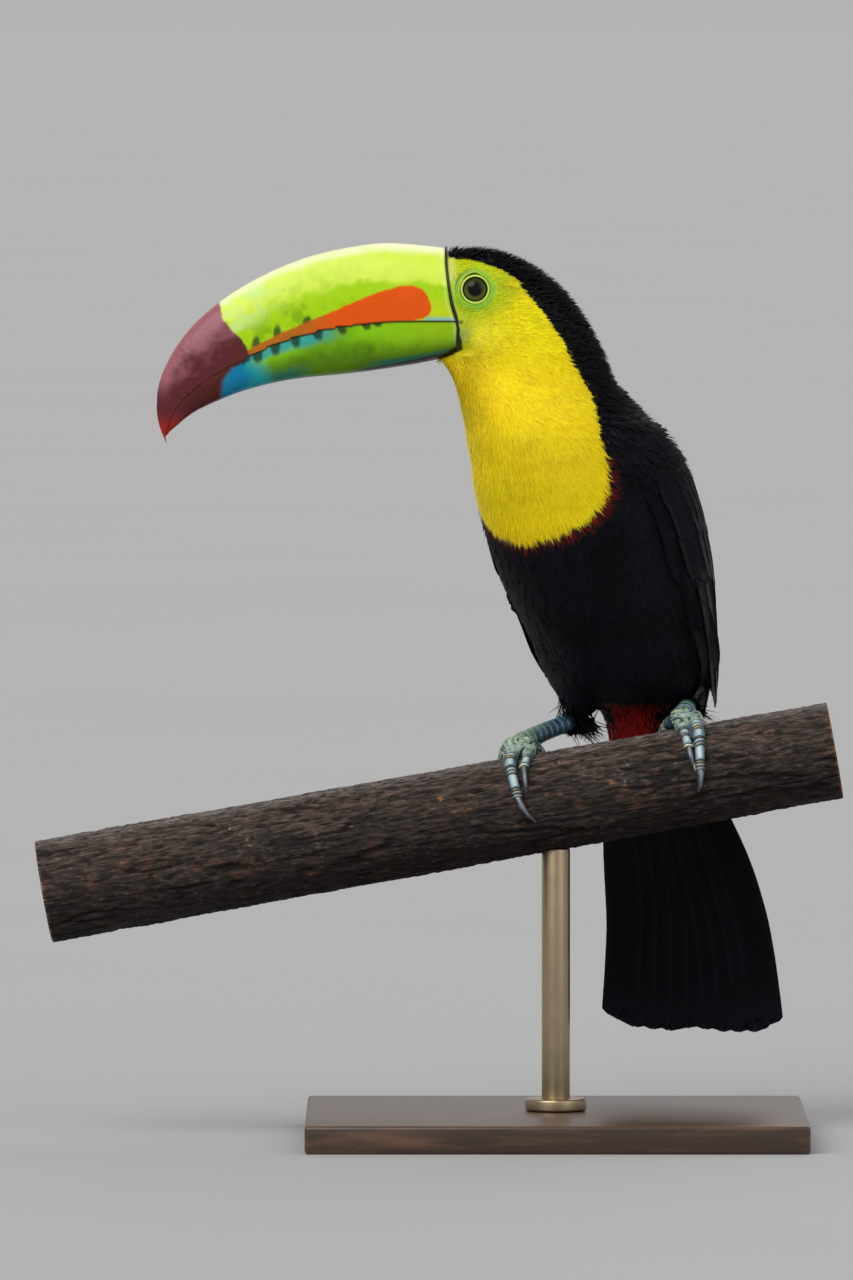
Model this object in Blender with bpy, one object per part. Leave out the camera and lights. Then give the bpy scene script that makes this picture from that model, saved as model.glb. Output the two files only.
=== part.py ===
"""Keel-billed toucan, life size, on a cut length of branch held by a plain display stand.

Sizes in this file are millimetres, and become metres where a mesh is made.
X runs to the viewer's right, -Y faces the viewer and Z is up.
The origin is the middle of the stand's underside.
The bird's chest faces the viewer and a little to the left, and its head is turned left, in profile.
"""

from math import ceil, cos, pi, radians, sin, sqrt

import bmesh
import bpy
import numpy as np

MM = 0.001
GAP = 0.3  # clearance between pieces that touch

# --- driving dimensions -------------------------------------------------------------------------

BODY_SIDES = 28
BILL_SIDES = 16

# The body is a stack of level rings, from the tail coverts up to the crown:
# height, middle x, middle y, reach to the front, reach to the back, half width, heading, pinch.
# Heading is how far the front is turned from the viewer to the left; pinch narrows the front.
BODY = (
    (126.0, 50.0, 51.8, 6.5, 6.0, 15.0, 28, 0.00),
    (139.0, 47.5, 48.5, 10.0, 9.5, 18.0, 28, 0.00),
    (150.0, 44.0, 46.0, 14.0, 12.0, 19.0, 28, 0.00),
    (165.0, 40.0, 42.5, 17.0, 16.5, 18.0, 28, 0.00),
    (177.0, 36.0, 38.5, 17.0, 22.5, 16.5, 28, 0.00),
    (183.5, 33.4, 34.0, 17.5, 27.5, 17.5, 28, 0.00),
    (187.5, 29.9, 28.8, 23.5, 32.5, 32.5, 28, 0.00),
    (195.0, 29.0, 25.7, 31.5, 32.8, 36.0, 28, 0.05),
    (212.0, 25.3, 18.3, 38.0, 38.0, 38.5, 28, 0.08),
    (233.0, 19.8, 7.9, 44.8, 44.5, 42.5, 28, 0.06),
    (252.0, 15.8, 0.3, 47.9, 47.5, 43.5, 28, 0.00),
    (269.0, 11.7, -7.4, 48.2, 48.2, 43.0, 29, 0.00),
    (282.0, 7.7, -15.0, 49.6, 48.7, 42.0, 33, 0.00),
    (295.0, 3.6, -22.0, 46.8, 46.0, 39.0, 40, 0.00),
    (303.0, 0.5, -27.0, 43.4, 44.0, 36.2, 48, 0.00),
    (314.0, -4.9, -31.0, 38.8, 38.6, 30.7, 62, 0.05),
    (322.0, -8.3, -33.2, 35.6, 33.8, 27.0, 76, 0.15),
    (326.5, -9.5, -33.8, 37.5, 32.6, 25.3, 84, 0.35),
    (330.5, -10.4, -34.0, 40.0, 32.1, 24.0, 88, 0.45),
    (333.5, -11.0, -34.0, 45.0, 31.5, 23.0, 90, 0.25),
    (338.0, -12.5, -34.0, 50.0, 30.3, 22.0, 90, 0.10),
    (345.0, -15.0, -34.0, 53.0, 29.0, 20.8, 90, 0.05),
    (353.0, -18.0, -34.0, 54.0, 27.0, 19.6, 90, 0.00),
    (363.0, -22.5, -34.0, 50.0, 23.0, 17.8, 90, 0.00),
    (370.0, -26.8, -34.0, 44.0, 18.2, 14.8, 90, 0.00),
    (375.0, -30.7, -34.0, 30.0, 12.8, 10.6, 90, 0.00),
    (377.2, -32.5, -34.0, 21.0, 8.0, 7.0, 90, 0.00),
    (378.1, -34.5, -34.0, 14.0, 4.0, 3.4, 90, 0.00),
)
CROWN_START = 371.0  # above this the rings draw closer together
CROWN_TOP = (-36.5, -34.0, 378.4)
COVERTS_END = 133.0
VENT_CUT = 181.0
NECK_BASE = 297.0
NECK_TOP = 318.0

# The folded wings follow the body's rings: height, reach to the front, to the back, half width.
WING_FORM = (
    (142.0, 19.0, 15.0, 22.0),
    (150.0, 22.0, 19.0, 25.0),
    (165.0, 26.0, 25.0, 29.0),
    (177.0, 30.0, 31.0, 34.0),
    (186.0, 33.0, 36.5, 38.0),
    (195.0, 37.0, 38.0, 40.2),
    (212.0, 43.0, 43.0, 43.5),
    (233.0, 50.0, 50.0, 48.0),
    (252.0, 53.0, 53.0, 49.0),
    (269.0, 53.8, 54.0, 48.6),
    (282.0, 53.2, 54.0, 47.6),
    (295.0, 50.5, 51.0, 43.6),
    (303.0, 46.5, 48.5, 40.0),
    (310.0, 42.5, 44.0, 36.0),
)
# Where each wing lies round the body: height, angle of its front edge, angle of its back edge.
WING_EDGES = (
    (143.0, 136, 150),
    (150.0, 122, 153),
    (165.0, 108, 160),
    (180.0, 98, 167),
    (195.0, 89, 172),
    (212.0, 84, 173),
    (233.0, 78, 171),
    (252.0, 75, 168),
    (269.0, 74, 165),
    (285.0, 75, 160),
    (297.0, 79, 150),
    (308.0, 94, 134),
)
WING_CLEAR = 1.0  # to the body, so that flat facets never meet
WING_FULL = 5.0
WING_EDGE = 0.9
WING_TIP = (1.6, 0.04)  # how full a wing is below the vent: at its tip, and more for each mm up

# The tail is a fan leaning back: height, middle x, middle y, half thickness, half width.
TAIL = (
    (46.0, 60.6, 66.8, 0.7, 17.0),
    (47.4, 60.6, 66.6, 0.9, 32.0),
    (50.5, 60.9, 66.0, 1.1, 40.5),
    (57.0, 60.8, 65.0, 1.2, 43.6),
    (66.0, 60.0, 63.4, 1.3, 44.4),
    (84.0, 58.9, 60.0, 1.5, 43.8),
    (105.0, 55.8, 56.2, 1.8, 39.8),
    (129.0, 50.6, 52.0, 2.2, 33.9),
    (139.0, 47.8, 49.8, 2.4, 29.5),
    (150.0, 44.2, 47.2, 2.6, 22.5),
    (159.0, 42.0, 45.0, 2.6, 16.5),
)
TAIL_HEADING = 28
TAIL_SIDES = 22
TAIL_ARCH = 0.05  # how far the fan's edges curve forward, for each millimetre of half width
TAIL_ROOM = 0.4  # between the tail and the coverts round its root

# The bill, from base to tip. Each row: place, culmen x z, gape x z, keel x z, half width.
BILL_Y = -34.0
BILL = (
    (0.00, -41.0, 377.6, -37.0, 347.2, -37.0, 334.8, 16.2),
    (0.10, -53.4, 379.6, -48.0, 347.5, -48.0, 332.2, 15.9),
    (0.25, -72.0, 380.8, -65.0, 347.4, -65.0, 329.0, 14.9),
    (0.43, -98.0, 376.9, -89.0, 345.1, -87.0, 326.0, 13.0),
    (0.60, -124.5, 367.2, -113.5, 339.0, -110.5, 323.6, 10.8),
    (0.75, -147.0, 352.9, -134.0, 330.3, -129.5, 319.3, 8.6),
    (0.86, -161.2, 336.0, -148.5, 322.2, -144.0, 313.9, 6.4),
    (0.94, -168.6, 317.0, -158.6, 314.0, -154.3, 308.7, 4.0),
    (0.98, -168.8, 304.5, -163.4, 306.0, -160.9, 303.2, 2.2),
    (1.00, -164.4, 296.2, -165.0, 299.0, -163.9, 298.6, 0.7),
)
CULMEN_SQUARENESS = 2.5
KEEL_SQUARENESS = 2.2
# The line where the bill meets the face, in profile, from top to bottom.
BILL_BASE = (
    (-46.9, 392.0),
    (-46.9, 372.0),
    (-46.0, 364.0),
    (-44.7, 356.0),
    (-42.6, 349.5),
    (-41.4, 345.5),
    (-41.6, 333.2),
)

EYE_X = -34.8
EYE_HEIGHT = 360.8
EYE_RADIUS = 7.2
EYE_DEPTH = 12.7  # from the head's middle plane to the middle of each eye

PERCH_LEFT = -217.0
PERCH_RIGHT = 118.0
PERCH_HEIGHT = 143.8  # of its axis above the floor, over the rod
PERCH_SLOPE = radians(10.1)
PERCH_RADIUS = 20.9
PERCH_TAPER = 0.0035  # how much thinner it gets for each millimetre to the right

BASE_SIZE = (212.0, 170.0, 12.0)
BASE_BEVEL = 1.6
ROD_RADIUS = 6.0
COLLAR_RADIUS = 13.0
COLLAR_HEIGHT = 5.0

HIP_FROM_ANKLE = (-5.0, -3.0, 12.0)
THIGH_RADII = (9.5, 5.0)
SHANK_RADIUS = 3.6
SHANK_FLARE = 0.8  # how much thicker the shank is at both ends
SHANK_RISE = 1.2  # how far the shank bows up along its length
PAD_SIZE = (6.2, 5.4, 4.2)  # the ball of the foot: half its width, depth and height
PAD_RISE = 4.6  # of the ball's middle above the bark
TOE_RADIUS = 3.7
TOE_TAPER = 1.0  # how much thinner a toe is at its end
TOE_START = radians(6)  # round the perch, from its top
TOE_CLEAR = 0.45  # between a toe or a claw and the bark
CLAW_RADIUS = 2.2
CLAW_TIP = 0.3
CLAW_ARCH = 1.2
CLAW_ROOM = 1.0  # between the end of a toe and its claw, along the curl
FEET = {
    # place along the perch, ankle, end of the shank, which way is the outer side
    "left": {"at": 58.5, "ankle": (57.0, 24.0, 182.0), "sole": (54.4, 1.5, 180.6), "outer": 1},
    "right": {"at": -12.0, "ankle": (12.5, 26.5, 177.0), "sole": (-14.5, 0.5, 168.2), "outer": -1},
}
# Toe number: side of the perch, sideways at its root, middle and tip, angle where it ends, claw's end.
TOES = {
    1: (-1, -5.5, -9.0, -11.0, 48, 70),
    2: (1, -4.8, -3.8, -2.8, 56, 76),
    3: (1, 3.2, 4.4, 3.4, 76, 101),
    4: (-1, 3.8, 7.0, 9.0, 70, 95),
}

# Colour, roughness and metallic value of each finish.
FINISHES = {
    "black_plumage": ((0.012, 0.012, 0.015), 0.55, 0.0),
    "yellow_plumage": ((0.85, 0.62, 0.02), 0.6, 0.0),
    "red_plumage": ((0.45, 0.02, 0.01), 0.6, 0.0),
    "bill_horn": ((0.42, 0.62, 0.03), 0.3, 0.0),
    "eye": ((0.05, 0.04, 0.02), 0.1, 0.0),
    "leg_scale": ((0.22, 0.38, 0.42), 0.45, 0.0),
    "claw_horn": ((0.08, 0.08, 0.1), 0.35, 0.0),
    "bark": ((0.09, 0.055, 0.04), 0.8, 0.0),
    "stand_wood": ((0.12, 0.06, 0.03), 0.4, 0.0),
    "stand_metal": ((0.5, 0.42, 0.3), 0.35, 1.0),
}


# --- shape helpers ------------------------------------------------------------------------------


class Track:
    """A smooth curve through rows of numbers, read by the first number of each row.

    Its slopes are limited so that it never swings past its own rows."""

    def __init__(self, rows):
        rows = sorted(rows)
        self.at = np.array([row[0] for row in rows], float)
        self.values = np.array([row[1:] for row in rows], float)
        steps = np.diff(self.at)[:, None]
        rises = np.diff(self.values, axis=0) / steps
        before, after = rises[:-1], rises[1:]
        same_way = before * after > 0
        total = np.where(same_way, before + after, 1.0)
        middle = np.where(same_way, 2 * before * after / total, 0.0)
        self.slopes = np.vstack([rises[:1], middle, rises[-1:]])

    def __call__(self, place):
        place = min(max(place, self.at[0]), self.at[-1])
        i = min(np.searchsorted(self.at, place, side="right") - 1, len(self.at) - 2)
        step = self.at[i + 1] - self.at[i]
        t = (place - self.at[i]) / step
        hermite = (
            (2 * t**3 - 3 * t**2 + 1) * self.values[i]
            + (t**3 - 2 * t**2 + t) * step * self.slopes[i]
            + (3 * t**2 - 2 * t**3) * self.values[i + 1]
            + (t**3 - t**2) * step * self.slopes[i + 1]
        )
        return hermite


body_track = Track(BODY)
wing_form = Track(WING_FORM)
wing_edges = Track(WING_EDGES)
tail_track = Track(TAIL)
bill_track = Track(BILL)


def spread(low, high, most):
    """Evenly spaced values from low to high, no more than `most` apart."""
    return list(np.linspace(low, high, ceil((high - low) / most) + 1))


def directions(heading):
    """The level directions to a bird's front and to its left, for a heading in degrees."""
    turn = radians(heading)
    front = np.array([-sin(turn), -cos(turn), 0.0])
    left = np.array([cos(turn), -sin(turn), 0.0])
    return front, left


def ring_point(middle, heading, front, back, half, angle, pinch=0.0):
    """A point of a level ring; angle 0 is the front and 90 degrees the bird's left side."""
    ahead, left = directions(heading)
    along = cos(angle) * (front if cos(angle) > 0 else back)
    across = half * sin(angle) * (1 - pinch * max(0.0, cos(angle)))
    return np.array(middle) + along * ahead + across * left


def make_mesh(name, points, faces):
    """A new object from points in millimetres, with its faces pointing out."""
    mesh = bpy.data.meshes.new(name)
    mesh.from_pydata([tuple(np.array(p) * MM) for p in points], [], faces)
    form = bmesh.new()
    form.from_mesh(mesh)
    bmesh.ops.recalc_face_normals(form, faces=form.faces)
    form.to_mesh(mesh)
    form.free()
    mesh.shade_smooth()
    mesh.set_sharp_from_angle(angle=radians(40))
    made = bpy.data.objects.new(name, mesh)
    bpy.context.scene.collection.objects.link(made)
    return made


def loft(name, rings, first_pole=None, last_pole=None):
    """A closed skin over rings of the same number of points, with flat or pointed ends."""
    count = len(rings[0])
    points = [p for ring in rings for p in ring]
    faces = []
    for r in range(len(rings) - 1):
        for i in range(count):
            j = (i + 1) % count
            faces.append((r * count + i, r * count + j, (r + 1) * count + j, (r + 1) * count + i))
    for pole, start in ((first_pole, 0), (last_pole, (len(rings) - 1) * count)):
        end_ring = [start + i for i in range(count)]
        if pole is None:
            faces.append(tuple(end_ring))
            continue
        points.append(pole)
        tip = len(points) - 1
        faces.extend((end_ring[i], end_ring[(i + 1) % count], tip) for i in range(count))
    return make_mesh(name, points, faces)


def shell(name, outer, inner):
    """A closed plate between two grids of points of the same size."""
    rows, columns = len(outer), len(outer[0])
    size = rows * columns
    points = [p for row in outer for p in row] + [p for row in inner for p in row]
    faces = []
    for r in range(rows - 1):
        for c in range(columns - 1):
            a, b = r * columns + c, r * columns + c + 1
            d, e = a + columns, b + columns
            faces.append((a, b, e, d))
            faces.append((a + size, d + size, e + size, b + size))
    border = [(0, c) for c in range(columns - 1)]
    border += [(r, columns - 1) for r in range(rows - 1)]
    border += [(rows - 1, c) for c in range(columns - 1, 0, -1)]
    border += [(r, 0) for r in range(rows - 1, 0, -1)]
    index = [r * columns + c for r, c in border]
    for a, b in zip(index, index[1:] + index[:1]):
        faces.append((a, b, b + size, a + size))
    return make_mesh(name, points, faces)


def tube(name, path, radii, sides):
    """A closed round bar along a path of points, whose rings don't twist along it."""
    path = [np.array(p, float) for p in path]
    rings = []
    aside = np.cross(path[1] - path[0], (0, 0, 1))
    for i, (point, radius) in enumerate(zip(path, radii)):
        ahead = path[min(i + 1, len(path) - 1)] - path[max(i - 1, 0)]
        ahead /= np.linalg.norm(ahead)
        aside = aside - ahead * (aside @ ahead)
        aside /= np.linalg.norm(aside)
        above = np.cross(aside, ahead)
        turns = [2 * pi * k / sides for k in range(sides)]
        rings.append(
            [point + radius * (cos(t) * aside + sin(t) * above) for t in turns]
        )
    return loft(name, rings)


def ball(name, middle, radius, segments=14, rings=9):
    bpy.ops.mesh.primitive_uv_sphere_add(
        segments=segments,
        ring_count=rings,
        radius=radius * MM,
        location=[v * MM for v in middle],
        rotation=(radians(90), 0, 0),
    )
    made = bpy.context.object
    made.name = name
    bpy.ops.object.transform_apply(location=True, rotation=True, scale=True)
    made.data.shade_smooth()
    return made


def prism(name, outline, depth):
    """A block with an outline in the X-Z plane, `depth` thick to each side of the head's middle."""
    count = len(outline)
    points = [(x, BILL_Y - depth, z) for x, z in outline]
    points += [(x, BILL_Y + depth, z) for x, z in outline]
    faces = [tuple(range(count)), tuple(range(2 * count - 1, count - 1, -1))]
    faces += [(i, (i + 1) % count, (i + 1) % count + count, i + count) for i in range(count)]
    return make_mesh(name, points, faces)


def combine(target, guide, operation):
    """Cuts a guide's shape out of the target or joins it on; the guide itself isn't shown."""
    guide.hide_render = True
    guide.display_type = "WIRE"
    modifier = target.modifiers.new(guide.name, "BOOLEAN")
    modifier.operation = operation
    modifier.solver = "EXACT"
    modifier.object = guide


def cut(target, *guides):
    for guide in guides:
        combine(target, guide, "DIFFERENCE")
    return target


def finish(obj, finish_name):
    """Gives an object its material."""
    material = bpy.data.materials.get(finish_name)
    if material is None:
        colour, roughness, metallic = FINISHES[finish_name]
        material = bpy.data.materials.new(finish_name)
        material.use_nodes = True
        shader = material.node_tree.nodes["Principled BSDF"]
        shader.inputs["Base Color"].default_value = (*colour, 1.0)
        shader.inputs["Roughness"].default_value = roughness
        shader.inputs["Metallic"].default_value = metallic
    obj.data.materials.clear()
    obj.data.materials.append(material)
    return obj


# --- the body -----------------------------------------------------------------------------------


def body_ring(height, grow=0.0):
    x, y, front, back, half, heading, pinch = body_track(height)
    turns = [2 * pi * k / BODY_SIDES for k in range(BODY_SIDES)]
    return [
        ring_point((x, y, height), heading, front + grow, back + grow, half + grow, t, pinch)
        for t in turns
    ]


def body_length(name, heights, grow=0.0, top=None):
    """A length of the body through its rings at some heights, cut level at both ends."""
    return loft(name, [body_ring(h, grow) for h in heights], last_pole=top)


def make_trunk():
    """The trunk, and a guide a little larger that keeps the thighs and shanks clear of it."""
    heights = spread(VENT_CUT + GAP / 2, NECK_BASE - GAP / 2, 7.3)
    trunk = body_length("trunk", heights)
    finish(trunk, "black_plumage")
    return body_length("guide_trunk_room", [heights[0] - GAP] + heights[:6], grow=GAP)


def make_neck():
    neck = body_length("neck", spread(NECK_BASE + GAP / 2, NECK_TOP - GAP / 2, 5.5))
    return finish(neck, "yellow_plumage")


def make_head():
    """The head, cut square where the bill joins it and hollowed for the eyes."""
    low, high, last = NECK_TOP + GAP / 2, CROWN_START, BODY[-1][0]
    crown = [high + (last - high) * share for share in (0.55, 0.8, 0.92, 1.0)]
    head = body_length("head", spread(low, high, 4.6) + crown, top=CROWN_TOP)
    face = list(BILL_BASE) + [(-52.0, 331.2), (-90.0, 322.0), (-90.0, 392.0)]
    cutters = [prism("guide_bill_seat", face, 40.0)]
    for side in (-1, 1):
        middle = (EYE_X, BILL_Y + side * EYE_DEPTH, EYE_HEIGHT)
        cutters.append(ball(f"guide_socket_{side}", middle, EYE_RADIUS + GAP))
    return finish(cut(head, *cutters), "yellow_plumage")


def make_eyes():
    for side, name in ((-1, "eye_left"), (1, "eye_right")):
        middle = (EYE_X, BILL_Y + side * EYE_DEPTH, EYE_HEIGHT)
        finish(ball(name, middle, EYE_RADIUS), "eye")


def make_tail():
    """The closed fan of tail feathers, a thin curved plate, and the coverts round its root."""
    heights = [row[0] for row in TAIL]

    def ring(height, grow=0.0):
        x, y, thick, half = tail_track(height)
        turns = [2 * pi * k / TAIL_SIDES for k in range(TAIL_SIDES)]
        front, left = directions(TAIL_HEADING)
        points = []
        for t in turns:
            side = np.sign(cos(t)) * abs(cos(t)) ** 0.6
            arch = TAIL_ARCH * half * side**2
            out = (half + grow) * side
            through = (thick + grow) * sin(t) + arch
            points.append(np.array((x, y, height)) + out * left + through * front)
        return points

    finish(loft("tail", [ring(h) for h in heights]), "black_plumage")
    root = heights[5:] + [heights[-1] + 0.5]
    room = loft("guide_tail_room", [ring(h, TAIL_ROOM) for h in root])
    coverts = body_length("tail_coverts", spread(COVERTS_END, VENT_CUT - GAP / 2, 8.0))
    return finish(cut(coverts, room), "red_plumage")


def make_wing(name, side):
    """A folded wing: a thin plate curved round the body, clear of it all over."""
    rows, columns = 17, 8
    low, high = WING_EDGES[0][0], WING_EDGES[-1][0]
    outer, inner = [], []
    for r in range(rows):
        s = 0.5 - 0.5 * cos(pi * r / (rows - 1))
        height = high + (low - high) * s
        x, y, front, back, half, heading, _ = body_track(height)
        wing_front, wing_back, wing_half = wing_form(height)
        start, end = wing_edges(height)
        outer_row, inner_row = [], []
        for c in range(columns):
            t = c / (columns - 1)
            angle = side * radians(start + (end - start) * t)
            crown = sqrt(max(0.0, 1 - (2 * t - 1) ** 4)) * sqrt(max(0.0, 1 - (2 * s - 1) ** 8))
            thick = WING_EDGE + (WING_FULL - WING_EDGE) * crown
            under = [
                max(body + WING_CLEAR, wing - WING_FULL)
                for body, wing in ((front, wing_front), (back, wing_back), (half, wing_half))
            ]
            if height < VENT_CUT:
                thick = WING_EDGE + (WING_TIP[0] + WING_TIP[1] * (height - low)) * crown
                under = [wing_front - thick, wing_back - thick, wing_half - thick]
            over = [value + thick for value in under]
            middle = (x, y, height)
            inner_row.append(ring_point(middle, heading, *under, angle))
            outer_row.append(ring_point(middle, heading, *over, angle))
        outer.append(outer_row)
        inner.append(inner_row)
    return finish(shell(name, outer, inner), "black_plumage")


# --- the bill -----------------------------------------------------------------------------------


def bill_half(name, upper, count):
    """One half of the bill, lofted from base to tip between its outer edge and the gape."""
    rings = []
    for k in range(count):
        place = sin(0.5 * pi * k / (count - 1)) ** 0.9
        cx, cz, gx, gz, kx, kz, half = bill_track(place)
        gape = np.array([gx, BILL_Y, gz])
        edge = np.array([cx, BILL_Y, cz]) if upper else np.array([kx, BILL_Y, kz])
        squareness = CULMEN_SQUARENESS if upper else KEEL_SQUARENESS
        reach = edge - gape
        gape = gape + reach / np.linalg.norm(reach) * min(GAP / 2, 0.2 * np.linalg.norm(reach))
        ring = []
        for i in range(BILL_SIDES):
            t = pi * i / (BILL_SIDES - 1)
            rise = sin(t) ** (2 / squareness)
            out = np.sign(cos(t)) * abs(cos(t)) ** (2 / squareness)
            ring.append(gape + (edge - gape) * rise + np.array([0.0, half * out, 0.0]))
        rings.append(ring)
    made = loft(name, rings)
    behind = [(x - GAP, z) for x, z in BILL_BASE[:-1]]
    behind += [(BILL_BASE[-1][0] - GAP, 325.0), (-20.0, 325.0), (-20.0, 392.0)]
    cut(made, prism("guide_face_" + name, behind, 40.0))
    return finish(made, "bill_horn")


# --- legs and feet ------------------------------------------------------------------------------


def perch_radius(x):
    return PERCH_RADIUS - PERCH_TAPER * x


def round_perch(x, angle, distance):
    """A point at a distance from the perch's axis; angle 0 is on top and positive to the viewer."""
    along = np.array([cos(PERCH_SLOPE), 0.0, sin(PERCH_SLOPE)])
    over = np.array([-sin(PERCH_SLOPE), 0.0, cos(PERCH_SLOPE)])
    axis = np.array([0.0, 0.0, PERCH_HEIGHT]) + along * (x / cos(PERCH_SLOPE))
    return axis + distance * (cos(angle) * over + sin(angle) * np.array([0.0, -1.0, 0.0]))


def foot_pad(name, foot, grow=0.0):
    """The ball of the foot, where the four toes meet."""
    middle = round_perch(foot["at"], 0.0, perch_radius(foot["at"]) + PAD_RISE)
    pad = ball(name, (0, 0, 0), 1.0, 12, 7)
    for vertex in pad.data.vertices:
        unit = np.array(vertex.co) / MM
        vertex.co = (unit * (np.array(PAD_SIZE) + grow) + middle) * MM
    return pad


def make_leg(side_name, trunk_guide):
    """Thigh lobe, shank with the ball of the foot, four toes and four claws."""
    foot = FEET[side_name]
    ankle, sole = np.array(foot["ankle"]), np.array(foot["sole"])
    hip = ankle + np.array(HIP_FROM_ANKLE)

    thigh_path = [hip + (ankle - hip) * t for t in np.linspace(0, 1, 5)]
    thigh_radii = np.linspace(*THIGH_RADII, 5)
    thigh = tube(f"thigh_{side_name}", thigh_path, thigh_radii, 14)
    finish(cut(thigh, trunk_guide), "black_plumage")
    thigh_room = tube(f"guide_thigh_{side_name}", thigh_path, thigh_radii + GAP, 14)
    # the guide reaches a little past the ankle, so that the shank ends clear of the thigh
    thigh_room.location = tuple((ankle - hip) / np.linalg.norm(ankle - hip) * GAP * MM)

    rise = np.array([0.0, 0.0, SHANK_RISE])
    shank_path = [ankle + (sole - ankle) * t + rise * sin(pi * t) for t in np.linspace(-0.05, 1, 7)]
    shank_radii = SHANK_RADIUS + SHANK_FLARE * (2 * np.linspace(0, 1, 7) - 1) ** 2
    shank = tube(f"foot_{side_name}", shank_path, shank_radii, 10)
    combine(shank, foot_pad(f"guide_pad_{side_name}", foot), "UNION")
    bark = perch_guide(f"guide_bark_{side_name}", GAP)
    finish(cut(shank, thigh_room, trunk_guide, bark), "leg_scale")

    pad_room = foot_pad(f"guide_pad_room_{side_name}", foot, GAP)
    shank_room = tube(f"guide_shank_{side_name}", shank_path, shank_radii + GAP, 10)
    for number, spec in TOES.items():
        make_toe(side_name, number, foot, spec, (pad_room, shank_room))


def make_toe(side_name, number, foot, spec, rooms):
    """A toe that curls round the perch, and its claw."""
    side, root, middle, tip, end, claw_end = spec
    sideways = Track(((0.0, root), (0.5, middle), (1.0, tip)))

    def place(angle, distance):
        share = max(0.0, angle / radians(end))
        x = foot["at"] + foot["outer"] * sideways(share)[0]
        return round_perch(x, side * angle, perch_radius(x) + distance)

    shares = np.linspace(0, 1, 7)
    angles = TOE_START + (radians(end) - TOE_START) * shares
    radii = TOE_RADIUS - TOE_TAPER * shares
    path = [place(a, r + TOE_CLEAR) for a, r in zip(angles, radii)]
    toe = tube(f"toe_{side_name}_{number}", path, radii, 8)
    finish(cut(toe, *rooms), "leg_scale")

    claw_path, claw_radii = [], []
    start = radians(end) + CLAW_ROOM / (perch_radius(foot["at"]) + TOE_RADIUS)
    for t in np.linspace(0, 1, 5):
        angle = start + (radians(claw_end) - start) * t
        radius = CLAW_RADIUS * (1 - t) ** 0.8 + CLAW_TIP
        height = (1 - t) * (radii[-1] + CLAW_ARCH * sin(pi * t)) + radius * t
        claw_path.append(place(angle, max(height, radius) + TOE_CLEAR))
        claw_radii.append(radius)
    claw = tube(f"claw_{side_name}_{number}", claw_path, claw_radii, 7)
    finish(claw, "claw_horn")


# --- perch and stand ----------------------------------------------------------------------------


def perch_guide(name, grow, sides=28):
    xs = np.linspace(PERCH_LEFT, PERCH_RIGHT, 6)
    rings = []
    for x in xs:
        turns = [2 * pi * k / sides for k in range(sides)]
        rings.append([round_perch(x, t, perch_radius(x) + grow) for t in turns])
    return loft(name, rings)


def make_perch():
    return finish(perch_guide("perch_branch", 0.0), "bark")


def cylinder(name, radius, low, high, sides=24):
    bpy.ops.mesh.primitive_cylinder_add(
        vertices=sides,
        radius=radius * MM,
        depth=(high - low) * MM,
        location=(0, 0, (low + high) / 2 * MM),
    )
    made = bpy.context.object
    made.name = name
    bpy.ops.object.transform_apply(location=True, rotation=True, scale=True)
    made.data.shade_smooth()
    made.data.set_sharp_from_angle(angle=radians(40))
    return made


def make_stand():
    """A flat base, one short rod up to the perch and a collar round the rod's foot."""
    width, depth, thick = BASE_SIZE
    bpy.ops.mesh.primitive_cube_add(size=1.0, location=(0, 0, thick / 2 * MM))
    base = bpy.context.object
    base.name = "stand_base"
    base.scale = (width * MM, depth * MM, thick * MM)
    bpy.ops.object.transform_apply(location=True, rotation=True, scale=True)
    edge = base.modifiers.new("eased edges", "BEVEL")
    edge.width = BASE_BEVEL * MM
    edge.segments = 2
    edge.limit_method = "ANGLE"
    finish(base, "stand_wood")

    rod = cylinder("stand_rod", ROD_RADIUS, thick + GAP, PERCH_HEIGHT)
    finish(cut(rod, perch_guide("guide_rod_seat", GAP)), "stand_metal")

    collar = cylinder("stand_collar", COLLAR_RADIUS, thick + GAP, thick + GAP + COLLAR_HEIGHT)
    bore = cylinder("guide_collar_bore", ROD_RADIUS + GAP, 0.0, 40.0)
    finish(cut(collar, bore), "stand_metal")


def main():
    for old in list(bpy.data.objects):
        bpy.data.objects.remove(old)
    make_perch()
    make_stand()
    trunk_guide = make_trunk()
    make_neck()
    make_head()
    make_eyes()
    bill_half("bill_upper", True, 18)
    bill_half("bill_lower", False, 16)
    make_tail()
    make_wing("wing_left", 1)
    make_wing("wing_right", -1)
    for side_name in FEET:
        make_leg(side_name, trunk_guide)


main()
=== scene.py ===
"""Finishes the keel-billed toucan on its perch: skin, feathers, bill, eyes, feet, bark, stand and stage.

Tables here are in millimetres and degrees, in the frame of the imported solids: X to the viewer's
right, -Y towards the viewer, Z up. Meshes are made in metres.
"""

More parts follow.
